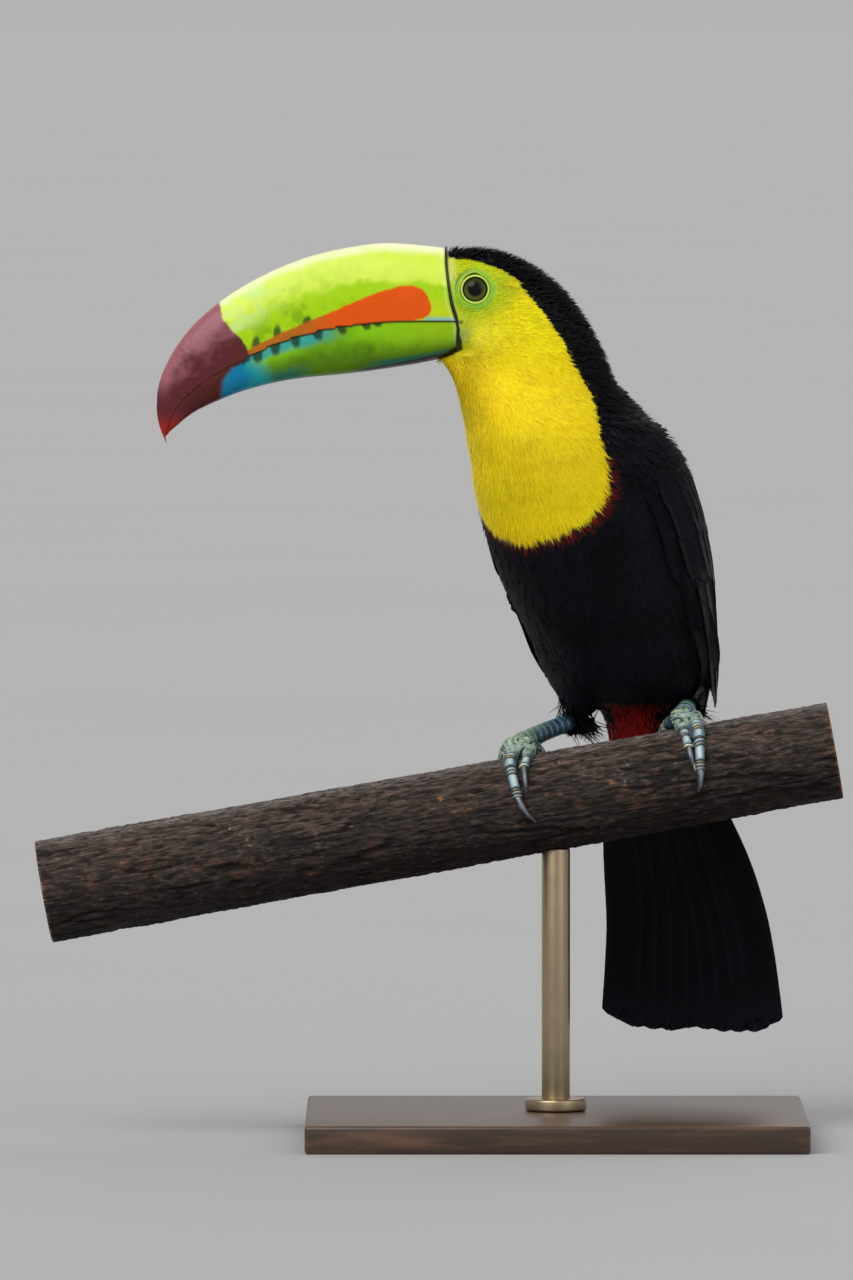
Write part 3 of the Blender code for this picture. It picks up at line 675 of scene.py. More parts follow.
class Ground:
    """A surface that tufts grow on: its triangles, its normals and an unwrap of its own shape, or
    that of the skin under it."""

    def __init__(self, obj, skin=None):
        mesh = obj.data
        self.skin = skin
        pick(obj)
        bpy.ops.object.mode_set(mode="EDIT")
        bpy.ops.mesh.select_all(action="SELECT")
        bpy.ops.uv.smart_project(angle_limit=radians(66), island_margin=0.004)
        bpy.ops.object.mode_set(mode="OBJECT")
        mesh.calc_loop_triangles()
        self.corners = gather(mesh.loop_triangles, "vertices", 3, np.int32)
        loops = gather(mesh.loop_triangles, "loops", 3, np.int32)
        self.points = points_of(mesh)
        self.normals = normals_of(mesh)
        self.uv = gather(mesh.uv_layers.active.data, "uv", 2, np.float32)[loops]
        a, b, c = (self.points[self.corners[:, k]] for k in range(3))
        self.areas = 0.5 * np.linalg.norm(np.cross(b - a, c - a), axis=1)
        self.tree = BVHTree.FromPolygons(self.points.tolist(), self.corners.tolist())

    def scatter(self, spacing, seed, chance):
        """Roots spread over the surface, about one for each square of `spacing`, thinned by
        `chance`, which gives a share from 0 to 1 for each point."""
        rng = np.random.default_rng(seed)
        wanted = int(self.areas.sum() / spacing**2 * sizes().density)
        picks = rng.choice(len(self.areas), wanted, p=self.areas / self.areas.sum())
        u, v = rng.random((2, wanted))
        flip = u + v > 1
        u, v = np.where(flip, 1 - u, u), np.where(flip, 1 - v, v)
        weights = np.stack([1 - u - v, u, v], axis=1)[:, :, None]
        points = (self.points[self.corners[picks]] * weights).sum(1)
        normals = unit((self.normals[self.corners[picks]] * weights).sum(1))
        kept = rng.random(wanted) < chance(points)
        points = points[kept]
        spots = self.skin.unwrap(points) if self.skin else (self.uv[picks] * weights).sum(1)[kept]
        return {"point": points, "normal": normals[kept], "uv": spots, "rng": rng}

    def nearest(self, points):
        """The nearest points of the surface and their triangles."""
        found = [self.tree.find_nearest(p) for p in points.tolist()]
        places = np.array([place[:] for place, _, _, _ in found])
        return places, np.array([face for _, _, face, _ in found])

    def unwrap(self, points):
        """Places on the unwrap for the surface's nearest points."""
        places, faces = self.nearest(points)
        a, b, c = (self.points[self.corners[faces, k]] for k in range(3))
        u, v, w = b - a, c - a, places - a
        uu, uv, vv, wu, wv = (np.sum(i * j, axis=1) for i, j in ((u, u), (u, v), (v, v), (w, u), (w, v)))
        flat = np.maximum(uu * vv - uv * uv, 1e-12)
        second, third = (vv * wu - uv * wv) / flat, (uu * wv - uv * wu) / flat
        shares = np.clip(np.stack([1 - second - third, second, third], axis=1), 0, 1)
        return (self.uv[faces] * shares[:, :, None]).sum(1)

    def settle(self, points):
        """The nearest points of the surface and its normals there."""
        places, faces = self.nearest(points)
        near = self.corners[faces]
        gaps = np.linalg.norm(self.points[near] - places[:, None, :], axis=2) + 0.05
        return places, unit((self.normals[near] * (1 / gaps)[:, :, None]).sum(1))


def spread_out(roots, spacing):
    """Drops roots that are too close to another, so that the rest lie evenly."""
    cells, kept = {}, []
    grid = np.floor(roots["point"] / spacing).astype(int)
    for i, ((x, y, z), p) in enumerate(zip(grid.tolist(), roots["point"].tolist())):
        around_it = (cells.get((x + i, y + j, z + k), ()) for i, j, k in product((-1, 0, 1), repeat=3))
        if all(sum((a - b) ** 2 for a, b in zip(p, q)) >= spacing**2 for cell in around_it for q in cell):
            cells.setdefault((x, y, z), []).append(p)
            kept.append(i)
    return pick_roots(roots, kept)


def pick_roots(roots, mask):
    return {key: (value[mask] if key != "rng" else value) for key, value in roots.items()}


def grow(name, ground, roots, length, width, colour, outline, lift=0.35, sunk=0.4, stray=8.0,
         ridge=0.15, curl=0.0, lie=lie_of_coat, tip_colour=None, root_colour=None):
    """Tufts as one mesh. Each has a middle rib and two edges, lies along the surface as the coat
    does, and ends in a point. Outline gives its width at each station along it; the colours run
    from root_colour through colour to tip_colour."""
    rng = roots["rng"]
    count = len(roots["point"])
    stations = len(outline)
    length = np.broadcast_to(length, (count,)) * rng.uniform(0.82, 1.18, count)
    width = np.broadcast_to(width, (count,)) * rng.uniform(0.85, 1.15, count)
    turn = np.radians(rng.normal(0, stray, count))[:, None]
    rise = np.broadcast_to(lift, (count,)) * rng.uniform(0.5, 1.6, count)
    step = length / stations
    place, normal = roots["point"], roots["normal"]
    near_tone = colour if root_colour is None else root_colour
    far_tone = colour if tip_colour is None else tip_colour
    tip = stations * 3
    points, shades = (np.empty((count, tip + 1, 3)) for _ in range(2))
    patch = np.empty((tip + 1, 2))
    for s in range(stations + 1):
        t = s / stations
        way = lie(place, normal)
        way = unit(way * np.cos(turn) + np.cross(normal, way) * np.sin(turn))
        aside = np.cross(normal, way)
        spine = place + normal * (-sunk * (1 - t) ** 2 + rise * t**1.3 + curl * t**3)[:, None]
        body = near_tone * (1 - smooth(0.0, 0.5, t)) + colour * smooth(0.0, 0.5, t)
        body = body * (1 - smooth(0.5, 1.0, t)) + far_tone * smooth(0.5, 1.0, t)
        shades[:, 3 * s : 3 * s + 3] = np.asarray(body)[:, None, :]
        if s == stations:
            points[:, tip] = spine
            patch[tip] = (0.5, 1.0)
            break
        half = (width * outline[s] / 2)[:, None]
        points[:, 3 * s] = spine - aside * half
        points[:, 3 * s + 1] = spine + normal * half * 2 * ridge
        points[:, 3 * s + 2] = spine + aside * half
        patch[3 * s : 3 * s + 3] = [(0.0, t), (0.5, t), (1.0, t)]
        ahead = place + way * step[:, None]
        near, turned = ground.settle(ahead)
        past = (np.linalg.norm(near - ahead, axis=1) > 0.5 * step)[:, None]
        place, normal = np.where(past, ahead, near), np.where(past, normal, turned)
    faces = []
    for a in range(0, tip - 3, 3):
        for left in (a, a + 1):
            faces += [(left, left + 1, left + 4), (left, left + 4, left + 3)]
    faces += [(tip - 3, tip - 2, tip), (tip - 2, tip - 1, tip)]
    every = (np.array(faces)[None] + np.arange(count)[:, None, None] * (tip + 1)).reshape(-1, 3)
    made = mesh_object(name, points.reshape(-1, 3), every)
    paint(made.data, shades.reshape(-1, 3))
    unwrap_tufts(made.data, roots["uv"][:, None, :] + (patch - 0.5)[None] * PATCH, every)
    return made


PATCH = 0.003  # size of a tuft's place on the unwrap


def unwrap_tufts(mesh, places, corners):
    """Gives a coat piece its unwrap, from a place for each point."""
    layer = mesh.uv_layers.new(name="OFBake")
    layer.data.foreach_set("uv", places.reshape(-1, 2)[corners.ravel()].astype(np.float32).ravel())


# --- plumage colours ---


def plumage(points):
    """The plumage's colour at each point, for the skin and for the tufts that grow there, with painted light
    and shade on the yellow.
    """
    z = points[:, 2]
    wobble = noise(points, 5.0, 3) * 0.6 + noise(points, 1.6, 4) * 0.3
    inside = bib_distance(points) + wobble * (1 - 0.6 * smooth(320, 340, z))
    eye, bill, face = eye_distance(points), bill_distance(points), z > 325
    warm = noise(points, 9.0, 5) * 0.5 + 0.5
    # Painted shade under the bill: darker ochre on the throat below it.
    under = smooth(18, 2, bill) * smooth(338, 328, z) * smooth(300, 318, z)
    # Painted light and shade on the yellow: lighter in a band round z 276, darker towards the bottom.
    lit = bump_at(z, 276, 12) * 0.12 - 0.10 * smooth(262, 250, z)
    yellow = layered(rgb("yellow"), ("straw", 1, 0.25 * warm * smooth(262, 300, z)),
        ("face_yellow", 1, 0.75 * smooth(322, 346, z)), ("ochre", 1, 0.75 * under)) * (1 + lit)[:, None]
    # Painted rim light: paler yellow along the breast's left side.
    rim = smooth(-52, -88, around(points)[0]) * smooth(244, 256, z) * smooth(322, 312, z)
    near_eye = smooth(19.0, 8.5, eye + 1.5 * noise(points, 4.0, 8)) * face
    near_bill = smooth(9, 1.5, bill) * face * smooth(331, 340, z)
    behind = bump_at(points[:, 0], EYE[0] + 14.0, 6.5) * bump_at(z, EYE[1] + 1.0, 7.0)
    behind = behind * smooth(-0.5, 0.5, noise(points * np.array([0.5, 1.0, 1.0]), 1.6, 9))
    by_cap = smooth(2.4, 0.4, inside) * bump_at(z, 357, 9) * (points[:, 0] > EYE[0])
    corner = bump_at(z, 343.0, 2.6) * smooth(5.5, 1.2, bill)
    lemon = mix(rgb("lemon"), rgb("lime_skin"), 0.15 * warm)
    yellow = layered(yellow, ("ochre", 1, 0.35 * smooth(4.5, 0.5, inside) * smooth(300, 270, z)),
        ("breast_rim_light", 1, 0.6 * rim), (lemon, 1, np.clip(near_eye + 0.8 * near_bill, 0, 1)),
        ("olive", 1, 0.36 * behind * face), ("cap_green", 1, 0.6 * by_cap),
        ("band_yellow", 1, 0.6 * (smooth(4.0, 1.2, bill) * smooth(360, 367, z))),
        ("mouth_green", 1, 0.50 * corner))
    back = is_back(points)
    vent = smooth(VENT_HEIGHT + 4, VENT_HEIGHT - 1, z + wobble * 2) * ~near_thigh(points, 13.0)
    rump = back * smooth(200, 190, z + 2 * wobble) * smooth(133, 138, z)
    return layered(rgb("black"), ("red", 0.16, 0.8 * (smooth(-3.0, -0.8, inside) * smooth(300, 286, z))),
        ("red", 1, vent * (1 - back) * smooth(139, 143, z)), ("white", 1, rump),
        (yellow, 1, smooth(-0.3, 0.3, inside)))


# --- skin ---

FLESH = ("head", "neck", "trunk", "tail_coverts")
THIGHS = ("thigh_left", "thigh_right")
CUT_HEIGHTS = (181.0, 297.0, 318.0)
GAP = 0.3
# Each foot: place along the perch, ankle, end of the shank, which way is the outer side.
FEET = {
    "left": (58.5, (57.0, 24.0, 182.0), (54.4, 1.5, 180.6), 1),
    "right": (-12.0, (12.5, 26.5, 177.0), (-14.5, 0.5, 168.2), -1),
}
# Each toe: side of the perch, sideways at its root, middle and tip, angle of its tip, and the angle
# and sideways place of its claw's tip.
TOES = {
    "left": {
        1: (-1, -5.5, -9.0, -11.0, 48, 76, -12.0),
        2: (1, -1.8, -0.9, -0.2, 55, 80, 0.7),
        3: (1, 4.2, 4.8, 2.9, 82, 107, 0.3),
        4: (-1, 3.8, 7.0, 9.0, 70, 98, 10.0),
    },
    "right": {
        1: (-1, 5.5, 9.0, 11.0, 48, 76, 12.0),
        2: (1, 5.6, 3.6, 1.1, 43, 74, 0.5),
        3: (1, -1.8, -4.3, -3.4, 77, 108, 2.6),
        4: (-1, -3.8, -7.0, -9.0, 70, 98, -10.0),
    },
}
# Scutes of the long and the short toes: how far back from the claw each begins, and its colour.
LONG_SCUTES = (
    (0.0, "scute_grey"), (1.5, "scute_grey"), (3.0, "scute_tan"), (4.2, "scute"), (10.6, "scute_pale"),
    (11.8, "scute"), (13.7, "scute_pale"), (14.5, "scute"), (18.8, "scute_tan"), (20.4, "scute_pale"),
    (21.9, "scute"), (25.0, "scute_pale"), (26.0, "scute"), (60.0, "scute"),
)
SHORT_SCUTES = (
    (0.0, "scute_pale"), (1.6, "scute"), (6.3, "scute_pale"), (7.4, "scute"), (10.4, "scute_pale"),
    (11.4, "scute"), (15.0, "scute_pale"), (16.0, "scute"), (60.0, "scute"),
)
PERCH_HEIGHT = 143.8
PERCH_SLOPE = radians(10.1)
PERCH_RADIUS = 20.9
PERCH_TAPER = 0.0035
PERCH_ENDS = (-217.0, 118.0)
ALONG = np.array([cos(PERCH_SLOPE), 0.0, sin(PERCH_SLOPE)])
OVER = np.array([-sin(PERCH_SLOPE), 0.0, cos(PERCH_SLOPE)])
NEAR = np.array([0.0, -1.0, 0.0])


def perch_place(x, angle, distance):
    """Points round the perch: angle 0 is on top and positive towards the viewer, in radians."""
    x, angle, distance = (np.asarray(v, float)[..., None] for v in (x, angle, distance))
    axis = np.array([0.0, 0.0, PERCH_HEIGHT]) + ALONG * (x / cos(PERCH_SLOPE))
    return axis + distance * (np.cos(angle) * OVER + np.sin(angle) * NEAR)


def toe_rows():
    """Every toe: its foot's place along the perch, whether it is a long one, and its table row."""
    for side, (at, _, _, _) in FEET.items():
        for number, row in TOES[side].items():
            yield at, number > 2, row


def bark_radius(x):
    return PERCH_RADIUS - PERCH_TAPER * x


def round_perch(points):
    """The reverse: x along the perch, angle round it in radians, and distance from its axis."""
    rel = points - np.array([0.0, 0.0, PERCH_HEIGHT])
    over, near = rel @ OVER, rel @ NEAR
    return (rel @ ALONG) * cos(PERCH_SLOPE), np.arctan2(near, over), np.hypot(over, near)


def swell(obj, amount):
    set_points(obj.data, points_of(obj.data) + normals_of(obj.data) * amount)
    return obj


def join(name, *objects):
    deselect()
    for obj in objects:
        obj.select_set(True)
    bpy.context.view_layer.objects.active = objects[0]
    if len(objects) > 1:
        bpy.ops.object.join()
    objects[0].name = name
    return objects[0]


def remesh(obj, grain, rounds):
    apply_modifier(obj, "REMESH", mode="VOXEL", voxel_size=grain, use_smooth_shade=True)
    if rounds:
        apply_modifier(obj, "SMOOTH", factor=0.5, iterations=rounds)
    return obj


def flesh_form():
    """The body's flesh as one closed form: head, neck, trunk, coverts and thighs."""
    flesh = copy_nodes("skin", *FLESH)
    points = points_of(flesh.data)
    for height in CUT_HEIGHTS:
        for way in (1, -1):
            points[np.abs(points[:, 2] - height - way * GAP / 2) < 0.12, 2] -= way * 1.3
    set_points(flesh.data, points)
    thighs = swell(copy_nodes("thigh_form", *THIGHS), 0.6)
    join("skin", flesh, thighs, *(ball(side, EYE_RADIUS + 0.5, 32, 16) for side in (-1, 1)))
    return remesh(flesh, sizes().skin_grain, 26)


def refine(obj, chosen, cuts):
    """Cuts the edges among the chosen vertices finer."""
    with edited(obj) as form:
        form.verts.ensure_lookup_table()
        edges = [e for e in form.edges if chosen[e.verts[0].index] and chosen[e.verts[1].index]]
        bmesh.ops.subdivide_edges(form, edges=edges, cuts=cuts, use_grid_fill=True)
        bmesh.ops.triangulate(form, faces=[f for f in form.faces if len(f.verts) > 4])


def off_middle(points):
    """How far points lie from the head's middle plane, towards the bird's left."""
    return points[:, 1] - HEAD_MIDDLE_Y


def round_eye(points):
    """Where points lie round an eye: x and height from its middle, distance and bearing from there,
    and the ripples of the folds of skin."""
    dx, dz = points[:, 0] - EYE[0], points[:, 2] - EYE[1]
    reach, bearing = np.hypot(dx, dz), np.arctan2(dz, -dx)
    wave = reach + 0.22 * np.sin(3 * bearing + 0.6) + 0.12 * np.sin(7 * bearing)
    return dx, dz, reach, bearing, np.sin(2 * pi * (wave - 6.6) / 1.15)


def fit_face(points, depth):
    """A smooth face surface under an eye, as the depth from the head's middle."""
    dx, dz, reach, _, _ = round_eye(points)
    basis = np.stack([np.ones_like(dx), dx, dz, dx * dx, dx * dz, dz * dz], axis=1)
    ring = (depth > 8) & (reach > 8.8) & (reach < 12.5) & (bill_distance(points) > 2.0)
    shares, *_ = np.linalg.lstsq(basis[ring], depth[ring], rcond=None)
    return basis @ shares


def eye_form(points, side):
    """Sets the lid and the folds of bare skin round an eye."""
    _, _, reach, bearing, ripples = round_eye(points)
    depth = side * off_middle(points)
    fade = smooth(6.2, 6.9, reach) * smooth(10.5, 8.0, reach)
    folds = 0.17 * ripples * fade
    folds -= 0.25 * bump_at(reach, 6.75, 0.35)
    folds -= 0.5 * (bump_at(bearing, 0.9, 0.75) * bump_at(reach, 9.2, 0.5))
    outside = fit_face(points, depth) + 0.12 + folds
    under = EYE_DEPTH + np.sqrt(np.clip(EYE_RADIUS**2 - reach**2, 0, None)) - 0.7
    rim = EYE_DEPTH + sqrt(EYE_RADIUS**2 - LID_RADIUS**2) + 0.42
    lid = under + (rim - under) * smooth(LID_RADIUS - 0.3, LID_RADIUS - 0.02, reach)
    shaped = lid + (outside - lid) * smooth(LID_RADIUS + 0.35, LID_RADIUS + 1.35, reach)
    shaped = depth + (shaped - depth) * (smooth(11.5, 9.0, reach) * (depth > 6))
    return np.column_stack([points[:, 0], HEAD_MIDDLE_Y + side * shaped, points[:, 2]])


def bill_side(z):
    """Half the bill's width at its base, at some heights."""
    _, _, top, _, gape, _, keel, half = BILL[0]
    up = np.clip((z - gape) / (top - gape), 0, 1)
    down = np.clip((gape - z) / (gape - keel), 0, 1)
    return half * np.where(z > gape, (1 - up**2.5) ** 0.4, (1 - down**2.2) ** 0.4545)


def coat_depth(points):
    """How far under the solids' surface the skin lies."""
    z = points[:, 2]
    head = smooth(318, 345, z)
    depth = 1.7 - 1.0 * head
    depth += 0.5 * smooth(250, 225, z)
    near_bill = smooth(8.0, 1.0, bill_distance(points)) * smooth(326, 336, z)
    near_eye = smooth(14, 9, eye_distance(points)) * (z > 330)
    return depth * (1 - np.maximum(near_bill, near_eye)) + 0.1


def shape_skin(skin):
    """Draws the flesh in by the coat's depth, runs it under the bill's rim and shapes the lids."""
    mesh = skin.data
    points, normals = points_of(mesh), normals_of(mesh)
    points -= normals * coat_depth(points)[:, None]
    throat = bump_at(points[:, 2], 321, 13) * smooth(-0.1, -0.7, normals[:, 0])
    points += normals * (0.9 * throat)[:, None]
    chest = smooth(-0.1, -0.5, normals[:, 1] + 0.7 * normals[:, 0]) * (points[:, 0] < 30)
    full = 1.2 * bump_at(points[:, 2], 263, 11) - 0.9 * bump_at(points[:, 2], 285.5, 5.5)
    edge = 1.2 * bump_at(points[:, 2], 276, 11) * smooth(-0.3, -0.8, normals[:, 0])
    points += normals * ((full + edge) * chest)[:, None]
    under = smooth(322, 330, points[:, 2]) * smooth(336, 333, points[:, 2])
    points[:, 2] += 1.5 * under * smooth(5.0, -1.0, bill_distance(points))
    middle = np.column_stack([read(AXIS, points[:, 2], 1), read(AXIS, points[:, 2], 2)])
    out = (points[:, :2] - middle) @ TAIL_FRONT[:2]
    points[:, :2] -= (0.9 * smooth(152, 128, points[:, 2]) * out)[:, None] * TAIL_FRONT[:2]
    gap, z = bill_distance(points), points[:, 2]
    aside, half = off_middle(points), bill_side(z)
    flush = smooth(7.5, 0.8, gap) * smooth(334, 337, z) * smooth(379, 374, z)
    room = np.abs(aside) + (half + 0.35 - np.abs(aside)) * flush
    points[:, 1] = HEAD_MIDDLE_Y + np.sign(aside) * np.minimum(np.abs(aside), room)
    within = smooth(0.2, 1.2, half - np.abs(aside)) * smooth(332, 335, z)
    points[:, 0] -= 2.0 * smooth(2.6, 0.4, gap) * within * (normals[:, 0] < -0.3)
    set_points(mesh, points)
    refine(skin, (eye_distance(points) < 11.3) & (np.abs(off_middle(points)) > 7), 3)
    points = points_of(mesh)
    for side in (-1, 1):
        mine = side * off_middle(points) > 5
        points[mine] = eye_form(points[mine], side)
    set_points(mesh, points)


def bare_reach(points):
    """Distance from the eye, stretched so that the bare skin reaches the bill but not far behind."""
    _, _, reach, bearing, _ = round_eye(points)
    return reach - 1.1 * np.cos(bearing) + 0.3 * np.sin(bearing)


def face_paint(points, colour):
    """Bare skin round the eye with painted shade in its folds, hollow and crease, the lid's bright edge, and
    the corner of the mouth.
    """
    dx, dz, reach, bearing, ripples = round_eye(points)
    head = (points[:, 2] > 330) & (np.abs(off_middle(points)) > 6)
    patchy = noise(points, 2.2, 21)
    pale = smooth(-2.0, 6.0, dz - dx * 0.4) * smooth(6.5, -2.0, dx)
    # Painted shade in the hollow of the folds in front of and above the eye.
    blotch = bump_at(bearing, 0.75, 0.55) * bump_at(reach, 9.4, 1.1) * smooth(-0.6, 0.4, patchy)
    # Painted shade along a crease in front of and above the eye.
    crease = bump_at(reach, 8.2, 0.38) * bump_at(bearing, 0.50, 0.62)
    skin = layered(rgb("lime_skin"), ("lemon", 1, np.clip(0.08 + 0.20 * patchy, 0, 1)),
        ("pale_lime", 0.8, 0.45 * pale),
        # Painted shade in the troughs of the folds.
        ("olive", 1, 0.50 * smooth(0.2, -1.0, ripples) * smooth(10, 6.5, reach)),
        ("olive", 1, 0.75 * blotch), ("olive", 0.6, 0.85 * crease))
    ring = bump_at(reach, LID_RADIUS + 0.56, 0.27) * head
    corner = smooth(3.6, 2.6, bill_distance(points)) * bump_at(points[:, 2], 347.6, 0.6)
    return layered(colour, (skin, 1, smooth(10.2, 8.8, bare_reach(points) + 0.7 * patchy) * head),
        ("lime_skin", 0.4, smooth(LID_RADIUS + 0.45, LID_RADIUS + 0.15, reach) * head),
        ("lid", 1, np.clip(1.15 * ring, 0, 1)),
        ("olive", 1, 0.8 * (bump_at(reach, LID_RADIUS + 1.05, 0.24) * head)),
        ("lid_shade", 1, smooth(LID_RADIUS + 0.20, LID_RADIUS + 0.04, reach) * head),
        ("black", 1, corner))


def foot_form():
    """Shanks, balls of the feet and toes as closed forms, joined and smoothed."""
    shanks = swell(copy_nodes("foot_form", *(f"foot_{side}" for side in FEET)), 0.2)
    toes = []
    for at, long, (way, root, middle, tip, end, _, _) in toe_rows():
        share = np.linspace(0.02, 1, 60)
        angle = way * radians(end) * share
        x = at + Track(((0, root), (0.5, middle), (1, tip)))(share)[:, 0]
        half = toe_half(toe_back(way * angle, end), long)
        path = perch_place(x, angle, bark_radius(x) + half * 0.86 - 0.1 + 1.2 * smooth(0.25, 0.0, share))
        toes.append(limb("toe_form", path, off_axis(path, x, angle), half, half * 0.92))
    return remesh(join("foot_form", shanks, *toes), sizes().foot_grain, 4)


def off_axis(path, x, angle):
    """Directions from the perch's axis to points of a path round it."""
    return unit(path - perch_place(x, angle, x * 0))


def toe_back(angle, end):
    """How far back from its claw a place on a toe is, from its angle round the perch."""
    return (radians(end) - angle) * (PERCH_RADIUS + 2.2)


def toe_half(back, long):
    """Half the width of a toe, with its knuckles, at a distance back from its claw."""
    if long:
        knuckles = 0.42 * bump_at(back, 1.8, 1.5) + 0.30 * bump_at(back, 12.2, 1.9)
        return 2.0 + 0.75 * smooth(8, 19, back) + 0.45 * smooth(20, 30, back) + knuckles
    knuckles = 0.30 * bump_at(back, 1.0, 1.1) + 0.22 * bump_at(back, 7.0, 1.3)
    return 1.8 + 0.6 * smooth(5, 13, back) + 0.4 * smooth(14, 22, back) + knuckles


def limb(name, path, normal, wide, high, sides=20):
    """A closed round form along a path, with half its width and half its height at each point."""
    tangent = unit(np.gradient(path, axis=0))
    side = unit(np.cross(tangent, normal))
    up = np.cross(side, tangent)
    turns = np.linspace(0, 2 * pi, sides, endpoint=False)[None, :, None]
    rings = path[:, None] + side[:, None] * wide[:, None, None] * np.cos(turns)
    rings = rings + up[:, None] * high[:, None, None] * np.sin(turns)
    made = mesh_object(name, rings.reshape(-1, 3), grid_faces(len(path), sides, wrap=True))
    close_ends(made)
    return turn_outwards(made)


def foot_bands(points):
    """For points on the feet: place along a toe (back from its claw) or along a shank (from the
    ankle), how far off its middle line, how much of its upper side they are on, and 0 on a shank,
    1 on a short toe or 2 on a long one."""
    x, angle, distance = round_perch(points)
    found = np.zeros((4, len(points)))
    best = np.full(len(points), 99.0)
    upright = np.array([0.0, -0.25, 1.0])

    def claim(gap, near, *values):
        near = near & (gap < best)
        best[near] = gap[near]
        for row, value in zip(found, values):
            row[near] = np.broadcast_to(value, near.shape)[near]

    for side, (at, ankle, sole, _) in FEET.items():
        ankle, sole = np.array(ankle), np.array(sole)
        length = np.linalg.norm(sole - ankle)
        way = (sole - ankle) / length
        t = (points - ankle) @ way
        off = points - ankle - t[:, None] * way
        gap = np.linalg.norm(off, axis=1) + 3.0 * np.clip(t - length + 4, 0, None) + 20.0 * (t < -8)
        up = unit(upright - way * (upright @ way))
        claim(gap, np.abs(x - at) < 40, t, off @ np.cross(up, way), unit(off) @ up, 0)
        for number, (front, root, middle, tip, end, _, _) in TOES[side].items():
            turned = front * angle
            share = np.clip(turned / radians(end), 0, 1.2)
            across = x - (at + np.interp(share, (0, 0.5, 1), (root, middle, tip)))
            back = toe_back(turned, end)
            half = toe_half(back, number > 2)
            lift = distance - bark_radius(x) - half * 0.86
            reach = np.hypot(across, lift)
            gap = reach - half + 2.4 + 30.0 * (turned < radians(4))
            claim(gap, True, back, across, lift / np.maximum(reach, 0.5), 2 if number > 2 else 1)
    return found


def scutes(table, place):
    """The colour of the scute at each place along a toe, and how far its nearest edge is."""
    starts = np.array([row[0] for row in table])
    tones = np.array([rgb(row[1]) for row in table])
    i = np.clip(np.searchsorted(starts, place, side="right") - 1, 0, len(starts) - 2)
    return tones[i], np.minimum(np.abs(place - starts[i]), starts[i + 1] - place)


def shape_feet(feet):
    """Raises the scutes and paints them: blue plates with pale edges and dark lines between, with painted
    highlights and shade on plates and wrinkles.
    """
    mesh = feet.data
    points, normals = points_of(mesh), normals_of(mesh)
    along_toe, across, upper, kind = foot_bands(points)
    toe = (kind > 0.5) * 1.0
    wave = along_toe + toe * 0.06 * across**2 + 0.22 * noise(points, 2.6, 31)
    long_tone, long_edge = scutes(LONG_SCUTES, wave)
    short_tone, short_edge = scutes(SHORT_SCUTES, wave)
    ring = wave % 3.4
    edge = np.where(kind > 1.5, long_edge, np.where(toe > 0.5, short_edge, np.minimum(ring, 3.4 - ring)))
    tone = np.where((kind > 1.5)[:, None], long_tone, short_tone)
    top = smooth(-0.25, 0.2, upper)
    turned = np.degrees(np.abs(round_perch(points)[1]))
    ball = smooth(25, 15, turned + 3 * noise(points, 3.0, 37)) * toe
    grains = noise(points, 0.9, 33)
    wrinkle = 1 - 2.4 * np.abs(noise(points * np.array([1.0, 1.0, 1.6]), 2.3, 34))
    cuff = np.where(np.sum(tone, axis=1) > 1.3, 0.16, 0.0) * toe
    height = top * ((0.40 + cuff) * smooth(0.08, 0.60, edge) - 0.22) * (1 - ball)
    height = height + (1 - top) * 0.10 * grains
    height = height + 0.55 * ball * smooth(-0.4, 0.9, wrinkle) + 0.08 * grains * ball
    set_points(mesh, points + normals * height[:, None])
    patchy = noise(points, 2.4, 35) * 0.5 + 0.5
    line = smooth(0.60, 0.30, edge) * smooth(-0.5, -0.1, upper)
    # Wrinkled tops of the feet, with painted shade in the creases and painted highlight on the crests.
    green = layered(rgb("teal_dark") * 0.4, ("leg_green", 1, smooth(-0.3, 0.6, wrinkle)),
        ("scute_pale", 0.9, 0.50 * smooth(0.45, 0.95, wrinkle)),
        ("scute", 0.9, 0.55 * smooth(0.48, 0.75, patchy)), ("black", 2, 0.8 * smooth(-0.2, -0.9, wrinkle)))
    plates = layered(tone, ("teal_dark", 1, 0.35 * smooth(0.5, 1.0, patchy)),
        # Painted highlight along each plate's middle, painted shade down the toe's sides.
        ("scute_pale", 1.1, 0.50 * (bump_at(across, 0.2, 0.7) * top) * smooth(0.6, 1.2, edge)),
        ("teal_dark", 0.7, 0.75 * smooth(0.9, 1.9, np.abs(across)) * top),
        ("black", 1.5, 0.97 * line * (1 - ball)),
        ("scute_tan", 0.5, 0.5 * (1 - top) * smooth(-0.4, 0.5, grains)),
        ("teal_dark", 0.3, 0.6 * (1 - top) * smooth(0.2, -0.6, grains)), (green, 1, ball))
    shank = layered(rgb("teal_dark") * 0.35,
        ("teal_dark", 1.1, smooth(0.2, 1.0, patchy + 0.2 * upper)),
        ("leg_green", 0.7, 0.7 * smooth(0.75, 1.0, upper) * smooth(20, 30, along_toe)),
        ("leg_green", 1, 0.6 * smooth(32, 36, along_toe) * smooth(-0.6, 0.4, wrinkle)),
        # Painted highlight: a pale blue line along each ring's edge.
        ("scute", 0.8, 0.60 * bump_at(edge, 0.42, 0.16) * top),
        ("black", 1, 0.85 * smooth(0.30, 0.10, edge)),
        ("black", 2, smooth(12.0, 8.0, along_toe)))
    paint(mesh, np.where((toe > 0.5)[:, None], plates, shank))
    return feet


def make_skin():
    skin = flesh_form()
    shape_skin(skin)
    points = points_of(skin.data)
    # The skin under the coat is painted darker than the plumage: painted shade between the tufts.
    paint(skin.data, face_paint(points, plumage(points) * 0.8))
    return skin


